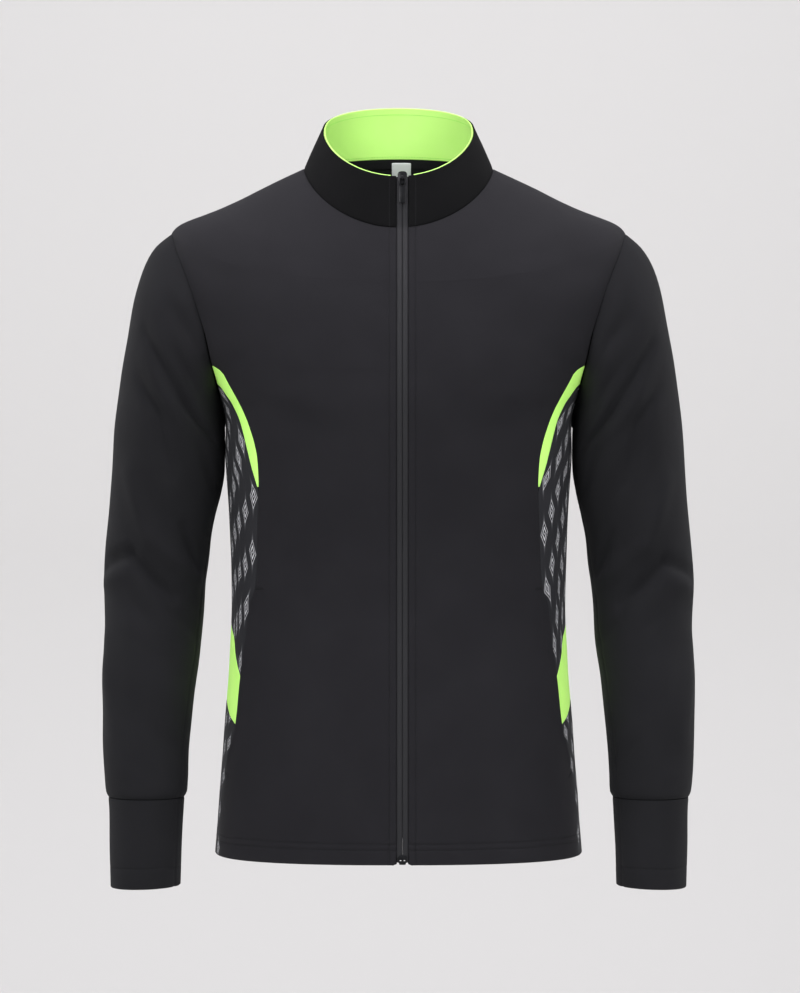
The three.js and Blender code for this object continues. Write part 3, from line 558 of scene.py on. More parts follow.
def make_cloth(name, points, normals, thick, material, seams=(0, 0, 0, 0), side=1,
               rise=0.0, lift=0.0, closed=False, rounds=None, uv_column=0, cut=None):
    """Makes a wall from its place on a surface. rise moves both faces of the wall, and lift
    the outer one alone. cut is the cut's width and length where its rows run aslant; it
    is not used."""
    rise = np.broadcast_to(rise, points.shape[:2])
    raised = rise + lift - seam_dip(points, seams, closed)
    outer = points + normals * raised[..., None]
    inner = points + normals * (rise - thick)[..., None]
    grid = np.concatenate([points, points[:, :1]], 1) if closed else points
    across = lengths(grid, 1)
    across = across - across[:, uv_column:uv_column + 1]
    down = lengths(grid, 0)[:, grid.shape[1] // 2][:, None]
    uv = np.stack([across * side, np.broadcast_to(-down, across.shape)], -1)
    if rounds is None:
        rounds = [FREE_ROUND if np.max(sewn) < 0.5 else SEAM_ROUND for sewn in seams]
    flip = np.array([side, 1, 1])
    piece = shell(name, outer * flip, inner * flip, uv, closed, rounds)
    piece.data.materials.append(material)
    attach(piece, JACKET)
    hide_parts(name.removesuffix("_cloth"))
    a, b = grid[1:, :-1] - grid[:-1, :-1], grid[:-1, 1:] - grid[:-1, :-1]
    area = np.linalg.norm(np.cross(a, b), axis=-1).sum() * MM * MM
    cut = cut or (float(lengths(grid, 1)[:, -1].max()), float(lengths(grid, 0)[-1].max()))
    wide, long = (round(size * MM, 4) for size in cut)
    return piece


# ---------------------------------------------------------------- materials
class Nodes:
    """A material's node tree, with each node made from its type, settings and inputs."""

    def __init__(self, name):
        self.material = bpy.data.materials.new(name)
        self.material.use_nodes = True
        self.tree = self.material.node_tree
        self.shader = self.tree.nodes["Principled BSDF"]

    def make(self, kind, *inputs, **settings):
        node = self.tree.nodes.new(kind)
        for key, value in settings.items():
            setattr(node, key, value)
        for i, value in enumerate(inputs):
            if value is not None:
                self.put(node.inputs[i], value)
        return node

    def put(self, socket, value):
        if hasattr(value, "is_output"):
            self.tree.links.new(value, socket)
        else:
            socket.default_value = value

    def math(self, operation, *inputs):
        return self.make("ShaderNodeMath", *inputs, operation=operation).outputs[0]

    def ramp(self, value, low, high, a=0.0, b=1.0):
        node = self.make("ShaderNodeMapRange", value, low, high, a, b,
                         interpolation_type="SMOOTHSTEP")
        return node.outputs[0]

    def noise(self, where, scale, detail=3.0, roughness=0.55):
        node = self.make("ShaderNodeTexNoise", where)
        node.inputs["Scale"].default_value = scale
        node.inputs["Detail"].default_value = detail
        node.inputs["Roughness"].default_value = roughness
        return node.outputs["Fac"]

    def blend(self, share, a, b):
        node = self.make("ShaderNodeMix", data_type="RGBA")
        self.put(node.inputs["Factor"], share)
        self.put(node.inputs["A"], a)
        self.put(node.inputs["B"], b)
        return node.outputs["Result"]

    def bump(self, height, distance, strength=1.0, under=None):
        node = self.make("ShaderNodeBump")
        self.put(node.inputs["Height"], height)
        node.inputs["Distance"].default_value = distance
        node.inputs["Strength"].default_value = strength
        if under is not None:
            self.put(node.inputs["Normal"], under)
        return node.outputs[0]

    def cloth_map(self):
        """Across and down the cloth, in millimetres from its own UV map."""
        place = self.make("ShaderNodeUVMap", uv_map="cloth").outputs[0]
        split = self.make("ShaderNodeSeparateXYZ", place)
        return place, [self.math("MULTIPLY", split.outputs[i], 1000.0) for i in (0, 1)]

    def finish(self, base, roughness, **constants):
        self.put(self.shader.inputs["Base Color"], base)
        self.put(self.shader.inputs["Roughness"], roughness)
        for name, value in constants.items():
            self.shader.inputs[name.replace("_", " ")].default_value = value
        return self.material


def knit_height(m, across, down, wale, course):
    """Height of a plain knit: columns of small V stitches, 0 to 1."""
    column = m.math("FRACT", m.math("DIVIDE", across, wale))
    from_middle = m.math("ABSOLUTE", m.math("SUBTRACT", column, 0.5))
    slanted = m.math("ADD", m.math("DIVIDE", down, course), m.math("MULTIPLY", from_middle, 1.1))
    loop = m.math("ABSOLUTE", m.math("SUBTRACT", m.math("FRACT", slanted), 0.5))
    rib = m.ramp(from_middle, 0.5, 0.12)
    return m.math("MULTIPLY", rib, m.ramp(loop, 0.5, 0.1))


def knit(name, base, light, fleck, roughness=0.78, sheen=0.03, shine=0.12, tint=(1, 1, 1, 1),
         painted_glow=0.0):
    m = Nodes(name)
    place, (across, down) = m.cloth_map()
    height = knit_height(m, across, down, 0.62, 0.5)
    cloudy = m.noise(place, 14.0, 4.0)
    fine = m.noise(place, 900.0, 2.0)
    # Painted shade at the stitches: raised loops are lighter and the hollows between them darker,
    # mixed with random cloudy tone and flecks.
    shade = m.math("ADD", m.math("MULTIPLY", height, 0.35), m.math("MULTIPLY", cloudy, 0.5))
    shade = m.math("ADD", shade, m.math("MULTIPLY", fine, fleck))
    color = m.blend(m.ramp(shade, 0.25, 1.0), base, light)
    bump = m.bump(height, 0.00018, 0.7)
    bump = m.bump(m.noise(place, 55.0, 3.0), 0.0006, 0.35, bump)
    m.put(m.shader.inputs["Normal"], bump)
    rough = m.math("ADD", m.math("MULTIPLY", fine, 0.12), roughness - 0.06)
    # Painted glow: the cloth gives off its own colour as light, though it is no lamp.
    if painted_glow:
        m.put(m.shader.inputs["Emission Color"], color)
    return m.finish(color, rough, Sheen_Weight=sheen, Sheen_Roughness=0.42, Sheen_Tint=tint,
                    Specular_IOR_Level=shine, Emission_Strength=painted_glow)


BLACK = (0.0112, 0.0107, 0.0128, 1)
BLACK_LIGHT = (0.0205, 0.0198, 0.0228, 1)
DEEP_BLACK = (0.0042, 0.0042, 0.0044, 1)
DEEP_BLACK_LIGHT = (0.0085, 0.0085, 0.0090, 1)
NEON = (0.47, 0.90, 0.158, 1)
NEON_LIGHT = (0.61, 0.96, 0.26, 1)
LINING_NEON = (0.52, 0.94, 0.19, 1)
LINING_NEON_LIGHT = (0.66, 0.98, 0.32, 1)
NEON_TINT = (0.9, 1.0, 0.7, 1)


# The side print: small lozenges of fine lines, stacked in columns on a charcoal ground. Each
# column lies a third of a repeat lower than the one beside it, and streaks run out above and
# below every lozenge and fade.
PRINT_REPEAT = 43.0
PRINT_COLUMN = 13.0
LOZENGE_TALL = 9.6            # half its height
LOZENGE_WIDE = 5.4            # half its width
LOZENGE_RINGS = 2.0
STREAK_LONG = 21.4


def printed_knit():
    m = Nodes("printed_knit")
    place, (across, down) = m.cloth_map()
    times = lambda *values: m.math("MULTIPLY", *values)
    column = m.math("DIVIDE", across, PRINT_COLUMN)
    number = m.math("FLOOR", column)
    aside = m.math("ABSOLUTE", times(m.math("SUBTRACT", m.math("FRACT", column), 0.5),
                                     PRINT_COLUMN))
    lowered = m.math("ADD", m.math("DIVIDE", down, PRINT_REPEAT), times(number, 1 / 3))
    along = times(m.math("SUBTRACT", m.math("FRACT", lowered), 0.5), PRINT_REPEAT)
    away = m.math("ABSOLUTE", along)
    ring = m.math("ADD", m.math("DIVIDE", away, LOZENGE_TALL), m.math("DIVIDE", aside, LOZENGE_WIDE))
    inside = m.ramp(ring, 1.04, 0.98)
    wave = m.math("ABSOLUTE", m.math("SUBTRACT", m.math("FRACT", times(ring, LOZENGE_RINGS)), 0.5))
    white = times(m.ramp(wave, 0.30, 0.38), inside)
    black = times(m.ramp(wave, 0.24, 0.14), inside)
    fade = m.ramp(away, STREAK_LONG, LOZENGE_TALL * 0.6)
    narrow = m.ramp(m.math("ADD", m.math("DIVIDE", aside, 4.2), m.math("DIVIDE", away, STREAK_LONG)),
                    1.0, 0.2)
    strands = m.math("ABSOLUTE", m.math("SINE", times(m.math("ADD", aside, 0.55), 1.5)))
    streak = times(times(fade, narrow), m.math("ADD", 0.15, times(strands, 0.85)))
    grain = m.math("ADD", 0.75, times(m.noise(place, 700.0, 2.0), 0.5))
    ground = m.blend(m.noise(place, 30.0, 3.0), (0.0150, 0.0152, 0.0175, 1),
                     (0.0270, 0.0272, 0.0305, 1))
    color = m.blend(times(times(streak, 0.9), grain), ground, (0.26, 0.26, 0.275, 1))
    color = m.blend(black, color, (0.008, 0.008, 0.009, 1))
    color = m.blend(times(white, grain), color, (0.72, 0.72, 0.74, 1))
    height = knit_height(m, across, down, 0.62, 0.5)
    m.put(m.shader.inputs["Normal"], m.bump(height, 0.00016, 0.6))
    return m.finish(color, 0.74, Sheen_Weight=0.03, Sheen_Roughness=0.45,
                    Specular_IOR_Level=0.14)


def woven_tape(name, base, light, rib):
    """A narrow woven tape, ribbed across its length."""
    m = Nodes(name)
    _, (across, down) = m.cloth_map()
    wave = m.math("ABSOLUTE", m.math("SINE", m.math("MULTIPLY", down, math.pi / rib)))
    weft = m.math("ABSOLUTE", m.math("SINE", m.math("MULTIPLY", across, math.pi / rib)))
    height = m.math("MULTIPLY", wave, m.math("ADD", 0.5, m.math("MULTIPLY", weft, 0.5)))
    # Painted shade: the colour follows the rib height, lighter on the ribs' tops and darker in the
    # troughs.
    color = m.blend(height, base, light)
    m.put(m.shader.inputs["Normal"], m.bump(height, 0.0002, 0.6))
    return m.finish(color, 0.6, Specular_IOR_Level=0.22)


def by_object(m):
    return m.make("ShaderNodeTexCoord").outputs["Object"]


def metal(name, base, roughness):
    m = Nodes(name)
    place = by_object(m)
    worn = m.noise(place, 420.0, 4.0)
    m.put(m.shader.inputs["Normal"], m.bump(m.noise(place, 1500.0, 2.0), 0.00003, 0.4))
    color = m.blend(worn, base, tuple(min(c * 1.5, 1) for c in base[:3]) + (1,))
    return m.finish(color, m.math("ADD", roughness, m.math("MULTIPLY", worn, 0.18)),
                    Metallic=1.0)


def coil_plastic():
    m = Nodes("coil_plastic")
    place = by_object(m)
    color = m.blend(m.noise(place, 300.0), (0.010, 0.010, 0.012, 1), (0.024, 0.024, 0.027, 1))
    return m.finish(color, 0.42, Specular_IOR_Level=0.45)


def thread(name, base, light):
    m = Nodes(name)
    place = by_object(m)
    twist = m.noise(place, 1600.0, 2.0)
    m.put(m.shader.inputs["Normal"], m.bump(twist, 0.00008, 0.5))
    # The twist noise bumps the thread and lightens it where it stands higher: partly random tone,
    # partly a painted highlight on the twists.
    return m.finish(m.blend(twist, base, light), 0.7, Sheen_Weight=0.05,
                    Specular_IOR_Level=0.15)


BLACK_KNIT = knit("black_double_knit", BLACK, BLACK_LIGHT, 0.3)
SLEEVE_KNIT = knit("black_sleeve_knit", (0.0088, 0.0088, 0.0100, 1), (0.0165, 0.0165, 0.0185, 1), 0.3,
                   sheen=0.02)
COLLAR_KNIT = knit("black_collar_knit", DEEP_BLACK, DEEP_BLACK_LIGHT, 0.3, sheen=0.01, shine=0.06)
# The neon dye is fluorescent; its cloths get a painted glow, light of their own that
# brightens them evenly, the sides as much as the front, though they are no lamp.
NEON_KNIT = knit("neon_knit", NEON, NEON_LIGHT, 0.12, 0.66, 0.08, 0.2, NEON_TINT, 0.29)
LINING_KNIT = knit("neon_lining_knit", LINING_NEON, LINING_NEON_LIGHT, 0.12, 0.66, 0.08, 0.2,
                   NEON_TINT, 0.17)
PRINTED_KNIT = printed_knit()
TAPE = woven_tape("zip_tape_weave", (0.0095, 0.0095, 0.0105, 1), (0.022, 0.022, 0.0245, 1), 0.7)
LABEL_TAPE = woven_tape("label_tape_weave", (0.84, 0.84, 0.88, 1), (0.95, 0.95, 0.97, 1), 0.45)
COIL = coil_plastic()
GUNMETAL = metal("gunmetal", (0.020, 0.020, 0.021, 1), 0.26)
# Bright metal for two small plates on the zip's box that stand for its glints: painted highlights.
BRIGHT_METAL = metal("glint_bright_metal", (0.85, 0.85, 0.86, 1), 0.3)
BLACK_THREAD = thread("black_thread", (0.005, 0.005, 0.0056, 1), (0.013, 0.013, 0.0145, 1))
NEON_THREAD = thread("neon_thread", (0.20, 0.50, 0.06, 1), (0.34, 0.70, 0.12, 1))


# ---------------------------------------------------------------- body panels
INSET_FOOT_H = -322.5
ARMHOLE_STEP = math.radians(3.9)
NEAR_HALF = np.linspace(math.pi / 2, math.pi, 400)


def crossing(angles, difference):
    """The angle at which a difference that falls or rises through nought does so."""
    order = np.argsort(difference)
    return float(np.interp(0, difference[order], angles[order]))


def armhole_z(angles):
    return armhole_values(ARMHOLE_POINTS, angles)[..., 2]


# The inset's front and rear edge each cross the armhole once, above or below these heights.
TIP_ABOVE, REAR_BELOW = -215, -212
UPPER = NEAR_HALF[armhole_z(NEAR_HALF) > TIP_ABOVE]
TIP_ANGLE = crossing(UPPER, FRONT_SEAM.at("x", armhole_z(UPPER))
                     - ARM_EDGE.at("x", armhole_z(UPPER)))
LOWER = NEAR_HALF[armhole_z(NEAR_HALF) < REAR_BELOW]
REAR_ANGLE = crossing(LOWER, INSET_SEAM.at("x", armhole_z(LOWER))
                      - ARM_EDGE.at("x", armhole_z(LOWER)))
BACK_ANGLE = math.radians(190)
TIP_H, REAR_H, BACK_H = (float(armhole_h(a)) for a in (TIP_ANGLE, REAR_ANGLE, BACK_ANGLE))


def front_edge_turn(h):
    return np.where(h <= TIP_H, seam_turn(FRONT_SEAM, h), armhole_turn(h, False))


def back_edge_turn(h):
    return np.where(h <= BACK_H, seam_turn(BACK_SEAM, h, True), armhole_turn(h, True))


def side_front_turn(h):
    """Front edge of a side piece, which the underarm inset parts from the front higher up."""
    inset = np.where(h > INSET_FOOT_H, seam_turn(INSET_SEAM, h), 0)
    return np.maximum(seam_turn(FRONT_SEAM, h), inset)


def fold_x(h, side):
    """Half width at a front's folded edge, its corner at the hem rounded off."""
    corner = 1.9
    up = np.clip(h - HEM_H, 0, corner)
    return FOLD_X + side * ZIP_X + corner - np.sqrt(corner**2 - (corner - up) ** 2)


def rise_by(start, end, step):
    """Levels from start to end, evenly spaced and at most a step apart, without the start."""
    count = max(math.ceil(abs(end - start) / step), 1)
    return np.linspace(start, end, count + 1)[1:]


def armhole_levels(start, end):
    return armhole_h(rise_by(start, end, ARMHOLE_STEP))


def hem_thick(h):
    return mix(HEM_WALL, WALL, smooth(HEM_H + HEM_DEPTH, HEM_H + HEM_DEPTH + 1.5, h))


def hem_groove(h):
    return groove(h - HEM_H - HEM_STITCH) + groove(h - HEM_H - HEM_DEPTH)


# Where the front's edge is left open as the mouth of a pocket.
MOUTH_LOW, MOUTH_HIGH = -606, -424
POCKET_STITCH = 7.5


def pocket_mouth(h):
    return smooth(MOUTH_LOW, MOUTH_LOW + 10, h) * smooth(MOUTH_HIGH, MOUTH_HIGH - 10, h)


FRONT_COLUMNS = 30


def front(side, word):
    h = np.concatenate([
        HEM_H + np.array(HEM_ROWS), rise_by(HEM_H + HEM_ROWS[-1], UNDERARM_H, CLOTH_STEP),
        armhole_levels(math.pi, TIP_ANGLE), armhole_levels(TIP_ANGLE, 0),
        rise_by(SHOULDER_H, NECK_H - 4, CLOTH_STEP), NECK_H - np.array(EDGE_STEPS[-2::-1])])
    inner = turn_at(BODY_FACE, h, lambda z: fold_x(h, side))
    edge = front_edge_turn(h)
    width = BODY.at("half", h) * (edge - inner)
    share = steps_over(width, FRONT_COLUMNS, ZIP_EDGE_STEPS)
    turn = mix(inner[:, None], edge[:, None], share)
    level, points, normals = lay(BODY_FACE, turn, h)
    from_fold, from_edge = lengths(points, 1), lengths(points, 1)
    from_edge = from_edge[:, -1:] - from_edge
    mouth = pocket_mouth(level)
    lift = (groove(from_fold - FOLD_STITCH) + hem_groove(level)
            + mouth * (0.9 * np.exp(-((from_edge / 5) ** 2)) + groove(from_edge - POCKET_STITCH)))
    sewn_edge = 1 - pocket_mouth(h)[:, None]
    return make_cloth(f"front_{word}_cloth", points, normals, hem_thick(level), BLACK_KNIT,
                      (0, 1, 0, sewn_edge), side, body_rise(points * (side, 1, 1)),
                      lift)


BACK_COLUMNS = 74


def back():
    h = np.concatenate([
        HEM_H + np.array(HEM_ROWS), rise_by(HEM_H + HEM_ROWS[-1], BACK_H, CLOTH_STEP),
        armhole_levels(BACK_ANGLE, 2 * math.pi),
        rise_by(SHOULDER_H, NECK_H - 4, CLOTH_STEP), NECK_H - np.array(EDGE_STEPS[-2::-1])])
    edge = back_edge_turn(h)
    width = 2 * BODY.at("half", h) * (math.pi - edge)
    place = 2 * steps_over(width, BACK_COLUMNS) - 1
    turn = math.pi - np.abs(place) * (math.pi - edge[:, None])
    level, points, normals = lay(BODY_FACE, turn, h, mirror_flip(np.sign(place)))
    middle = turn.shape[1] // 2
    return make_cloth("back_cloth", points, normals, hem_thick(level), BLACK_KNIT,
                      (0, 1, 1, 1), rise=body_rise(points), lift=hem_groove(level),
                      uv_column=middle)


SIDE_COLUMNS = 24
SIDE_WIDE = 130


def side_panel(name, side, levels, share, material, seams, hem=False):
    """A piece between the front and back seams, from its level at each row and column."""
    turn = mix(side_front_turn(levels), seam_turn(BACK_SEAM, levels, True), share)
    _, points, normals = lay(BODY_FACE, turn, levels)
    thick, lift = (hem_thick(levels), hem_groove(levels)) if hem else (WALL, 0.0)
    return make_cloth(name, points, normals, thick, material, seams, side,
                      body_rise(points * (side, 1, 1)), lift)


SIDE_SHARE = steps_over(SIDE_WIDE, SIDE_COLUMNS)


def side_upper(side, word):
    angles = np.linspace(REAR_ANGLE, BACK_ANGLE, 160)
    h = armhole_h(angles)
    front_turn, back_turn = side_front_turn(h), seam_turn(BACK_SEAM, h, True)
    turns = np.where(angles > math.pi, armhole_turn(h, True), armhole_turn(h, False))
    share = np.clip((turns - front_turn) / (back_turn - front_turn), 0, 1)
    top = armhole_h(np.interp(SIDE_SHARE, np.maximum.accumulate(share), angles))
    low = HIP.at("top", SIDE_SHARE)
    rows = steps_over(250, 54)
    levels = mix(low, top, rows[:, None])
    return side_panel(f"side_upper_{word}_cloth", side, levels, SIDE_SHARE, PRINTED_KNIT,
                      (1, 1, 1, 1))


def hip_inset(side, word):
    levels = mix(HIP.at("bottom", SIDE_SHARE), HIP.at("top", SIDE_SHARE),
                 steps_over(64, 12)[:, None])
    return side_panel(f"hip_inset_{word}_cloth", side, levels, SIDE_SHARE, NEON_KNIT,
                      (1, 1, 1, 1))


def side_lower(side, word):
    low = HEM_H + np.array(HEM_ROWS)
    rows = steps_over(120, 26, start=(0,))[1:]
    upper = mix(low[-1], HIP.at("bottom", SIDE_SHARE), rows[:, None])
    levels = np.concatenate([np.broadcast_to(low[:, None], (len(low), upper.shape[1])), upper])
    return side_panel(f"side_lower_{word}_cloth", side, levels, SIDE_SHARE, PRINTED_KNIT,
                      (0, 1, 1, 1), hem=True)


INSET_CUT = (28.3, 133.7)      # the smallest rectangle round its curved cut


def underarm_inset(side, word):
    h = np.concatenate([rise_by(INSET_FOOT_H - 1.5, UNDERARM_H, 3), rise_by(UNDERARM_H, REAR_H, 2),
                        rise_by(REAR_H, TIP_H - 0.6, 2)])
    rear = np.where(h > REAR_H, armhole_turn(h, False), seam_turn(INSET_SEAM, h))
    front_turn = seam_turn(FRONT_SEAM, h)
    width = np.maximum(BODY.at("half", h) * (rear - front_turn), 0.4)
    turn = mix(front_turn[:, None], rear[:, None], steps_over(width, 8))
    _, points, normals = lay(BODY_FACE, turn, h)
    return make_cloth(f"underarm_inset_{word}_cloth", points, normals, WALL, NEON_KNIT,
                      (0.5, 0.5, 1, 1), side, body_rise(points * (side, 1, 1)),
                      cut=INSET_CUT)


# ---------------------------------------------------------------- sleeves and cuffs
def sleeve_seam(depth):
    """The angle of a sleeve's own seam, which turns from the underarm toward the front."""
    return mix(math.pi, math.radians(151), smooth(SLEEVE_TOP, SLEEVE_END, depth))


def around(seam, width, count):
    """Angles round a sleeve for each row, starting at its seam."""
    share = steps_over(width, count, (0, 0.9, 2.0, 3.6), (0.9, 2.0, 3.6))
    return seam[:, None] + 2 * math.pi * share


TUBE_SEAM_DEEP, TUBE_SEAM_WIDE = 0.75, 1.9


def seam_groove(points):
    """A sewn line along the first column of a tube."""
    grid = np.concatenate([points, points[:, :1]], 1)
    along = lengths(grid, 1)
    away = np.minimum(along, along[:, -1:] - along)[:, :-1]
    return groove(away, TUBE_SEAM_DEEP, TUBE_SEAM_WIDE)


SLEEVE_COLUMNS = 86


def sleeve(side, word):
    depth = mix(SLEEVE_TOP, SLEEVE_END, steps_over(SLEEVE_END - SLEEVE_TOP, 104))
    angle = around(sleeve_seam(depth), 340.0, SLEEVE_COLUMNS)
    level, points, own = lay(SLEEVE_FACE, angle, depth)
    body = unit(armhole_values(ARMHOLE_NORMALS, np.mod(angle, 2 * math.pi)))
    near = (1 - smooth(0, 9, level - SLEEVE_TOP))[..., None]
    agree = smooth(-0.3, 0.5, (own * body).sum(-1))[..., None]
    normals = unit(mix(own, body, agree * near))
    points = points + body * near * 0.3
    turned = np.degrees(np.mod(angle, 2 * math.pi))
    # The two sleeves crease alike but not the same.
    shift_a, shift_d, more = (0, 0, 1.0) if side < 0 else (3, 7, 0.9)
    folds = fold_rise(SLEEVE_FOLDS, turned - shift_a, level - shift_d,
                      ("turn0", "depth0", "turn1", "depth1"), 0.92) * more
    fade = smooth(0, 16, level - SLEEVE_TOP) * smooth(0, 30, SLEEVE_END - level)
    soft = 0.9 * ripple(points[..., 2] + 0.5 * points[..., 1], points[..., 0] * 1.3, 11 + side, 70)
    return make_cloth(f"sleeve_{word}_cloth", points, normals, WALL, SLEEVE_KNIT,
                      (1, 1, 0, 0), side, (folds + soft) * fade, seam_groove(points), True,
                      (SEAM_ROUND, SEAM_ROUND))


CUFF_STITCH = 18
CUFF_ROWS = (0.2, 0.9, 1.9, 3.4, 6)


def cuff(side, word):
    last = CUFF_LONG - CUFF_STITCH
    depth = np.concatenate([
        CUFF_ROWS, rise_by(CUFF_ROWS[-1], last - 3, 4), last + np.array([-1.2, -0.6, 0, 0.6, 1.2]),
        rise_by(last + 1.2, CUFF_LONG - 3, 4), CUFF_LONG - np.array([1.4, 0.5, 0.0])])
    angle = around(np.full(len(depth), sleeve_seam(SLEEVE_END)), 190.0, 46)
    level, points, normals = lay(CUFF_FACE, angle, depth)
    soft = 0.35 * ripple(points[..., 2], points[..., 0] + points[..., 1], 31 + side, 60)
    lift = seam_groove(points) + groove(level - last)
    return make_cloth(f"cuff_{word}_cloth", points, normals, CUFF_WALL, SLEEVE_KNIT,
                      (1, 0, 0, 0), side, soft * smooth(0, 20, level), lift, True,
                      (SEAM_ROUND, FREE_ROUND))


# ---------------------------------------------------------------- collar, lining and label
NECK_HALF = 215.0             # from an edge of the zip to the middle of the back


def neck_grid(levels, columns, from_edge=0.0, zip_steps=ZIP_EDGE_STEPS):
    """Turns and signs round the neck, from one edge of the zip to the other."""
    right, left = (turn_at(COLLAR_FACE, levels, lambda z, s=s: FOLD_X + s * ZIP_X)
                   for s in (-1, 1))
    start = np.broadcast_to(np.asarray(from_edge, float), levels.shape)
    long = NECK_HALF - start[:, None]
    share = steps_over(NECK_HALF - start, columns, zip_steps, (0.0,))[:, :-1]
    away = 1 - (1 - share) * long / NECK_HALF
    place = np.concatenate([away - 1, np.zeros_like(long), (1 - away)[:, ::-1]], 1)
    edge = np.where(place < 0, right[:, None], left[:, None])
    turn = math.pi - np.abs(place) * (math.pi - edge)
    return turn, np.where(place < 0, -1.0, 1.0)


def neck_cloth(name, levels, material, slot, seams, thick, rise, lift, rounds, **layout):
    turn, sign = neck_grid(levels, 46, **layout)
    _, points, normals = lay(COLLAR_FACE, turn, levels, mirror_flip(sign))
    return make_cloth(name, points, normals, thick, material, seams, 1, rise,
                      lift(points), False, rounds, uv_column=turn.shape[1] // 2)


COLLAR_TALL = 57.0


def collar():
    levels = mix(0.004, 0.975, steps_over(COLLAR_TALL, 9, EDGE_STEPS, (0, 0.7, 1.6, 3.2)))

    def lift(points):
        from_zip = lengths(points, 1)
        from_zip = np.minimum(from_zip, from_zip[:, -1:] - from_zip)
        return groove(from_zip - FOLD_STITCH)
    return neck_cloth("collar_cloth", levels, COLLAR_KNIT, "black_knit", (1, 0, 0, 0), WALL, 0.0,
                      lift, (SEAM_ROUND, FREE_ROUND, FREE_ROUND, FREE_ROUND))


LINING_IN = 17.5              # from the zip's edge, to clear its tape
RIM_IN = 5.0                  # the same at the rim, above the tape
LINING_STITCH = 6.5


def collar_lining():
    levels = mix(0.03, 1.0, steps_over(COLLAR_TALL, 9, EDGE_STEPS, (0, 0.7, 1.6, 3.2, 5.6, 6.5, 7.4)))
    return neck_cloth("collar_lining_cloth", levels, LINING_KNIT, "neon_knit", (0, 0, 0, 0),
                      LINING_WALL, -WALL - 0.3, lambda points: 0.0,
                      (0.3, 0.5, 0.4, 0.4), zip_steps=EDGE_STEPS,
                      from_edge=mix(LINING_IN, RIM_IN, smooth(0.955, 0.985, levels)))


NECK_BAND_WALL = 0.5


def neck_band():
    """The binding that covers the neck seam on the inside, below the lining's edge."""
    below, above = np.array([70.0, 73, 76, 79, 82, 83.5]), np.array([0.006, 0.014, 0.022])
    turn, sign = neck_grid(np.full(9, 0.01), 46, LINING_IN, EDGE_STEPS)
    flip = mirror_flip(sign)
    parts = [(face, levels, turn[:len(levels)]) for face, levels in
             ((BODY_FACE, below[:, None]), (COLLAR_FACE, above[:, None]))]
    points = np.concatenate([face.point(a, b) for face, b, a in parts]) * flip
    normals = np.concatenate([face.normal(a, b) for face, b, a in parts]) * flip
    outer = points - normals * (WALL + 0.1)
    inner = outer - normals * NECK_BAND_WALL
    uv = np.stack([lengths(outer, 1), -lengths(outer, 0)], -1)
    piece = shell("neck_band", outer, inner, uv, False, (0.3,) * 4)
    piece.data.materials.append(BLACK_KNIT)
    declare_strip(piece, outer, "collar_lining")
    return piece


LABEL = {"x0": -6.7, "x1": 12.8, "top": 81, "bottom": 46}
LABEL_WALL = 0.8


def neck_label():
    x = np.linspace(LABEL["x0"], LABEL["x1"], 15)
    h = np.linspace(LABEL["bottom"], LABEL["top"], 20)[:, None]
    level = np.broadcast_to(h, (20, 15))
    wide = np.broadcast_to(np.abs(x), (20, 15))
    turn = turn_at(BODY_FACE, level, lambda z: wide, True)
    flip = mirror_flip(np.broadcast_to(np.sign(x), level.shape))
    _, points, normals = lay(BODY_FACE, turn, level, flip)
    sag = -0.5 * np.sin(math.pi * (level - LABEL["bottom"]) / (LABEL["top"] - LABEL["bottom"]))
    return make_cloth("neck_label_cloth", points, normals, LABEL_WALL, LABEL_TAPE,
                      rise=sag - WALL - 0.6)


# ---------------------------------------------------------------- zip
def front_point(x, face, key, out):
    """A place on the middle of the front, x from the middle and out from the surface."""
    x, key, out = np.broadcast_arrays(np.asarray(x, float), key, out)
    turn = turn_at(face, key, lambda z: np.abs(x))
    sign = np.where(x < 0, -1.0, 1.0)
    flip = mirror_flip(sign)
    point, normal = face.point(turn, key) * flip, face.normal(turn, key) * flip
    return point + normal * out[..., None], normal


def up_the_front(step, low=-689.5, high=0.97):
    """Levels up the body and then the collar, as pairs of a face and its levels."""
    body = rise_by(low, SHOULDER_H, step)
    yoke = rise_by(SHOULDER_H, NECK_H, step * 3.0)
    rim = rise_by(0, high, step / COLLAR_TALL)
    return [(BODY_FACE, np.concatenate([body, yoke])), (COLLAR_FACE, rim)]


def on_the_front(x, out, runs):
    """Rows of points up the front for columns at x, out from the surface."""
    rows = [front_point(x, face, keys[:, None], out) for face, keys in runs]
    return tuple(np.concatenate(parts) for parts in zip(*rows))


# Section of a tape half, from the edge rolled in over the coil to the edge behind the front:
# distance from the zip's middle and depth below the front's face.
TAPE_ACROSS = (1.5, 0.7, 0.22, 0.04, 0.18, 0.7, 1.5, 2.8, 4.1, 5.0, 5.7, 6.3, 7.2, 8.6, 10.5, 12.9)
TAPE_OUT = (-2.35, -2.2, -1.7, -1.15, -0.65, -0.3, -0.12, -0.06, -0.12, -0.4, -1.1, -1.95,
            -2.5, -2.75, -2.8, -2.8)
TAPE_WALL = 0.55


def zip_tape(side, word):
    across, out = np.array(TAPE_ACROSS), np.array(TAPE_OUT)
    run = np.gradient(across), np.gradient(out)
    long = np.hypot(*run)
    # The wall's inner face is offset square to the section.
    inner_across = across + run[1] / long * TAPE_WALL
    inner_out = out - run[0] / long * TAPE_WALL
    runs = up_the_front(3.4)
    outer, _ = on_the_front(ZIP_X + side * across, out, runs)
    inner, _ = on_the_front(ZIP_X + side * inner_across, inner_out, runs)
    u, v = lengths(outer, 1) * side, -lengths(outer, 0)
    piece = shell(f"zip_{word}_tape", outer, inner, np.stack([u, v], -1), False, (0.2,) * 4)
    piece.data.materials.append(TAPE)
    declare_strip(piece, outer, f"zip_{word}")
    return piece


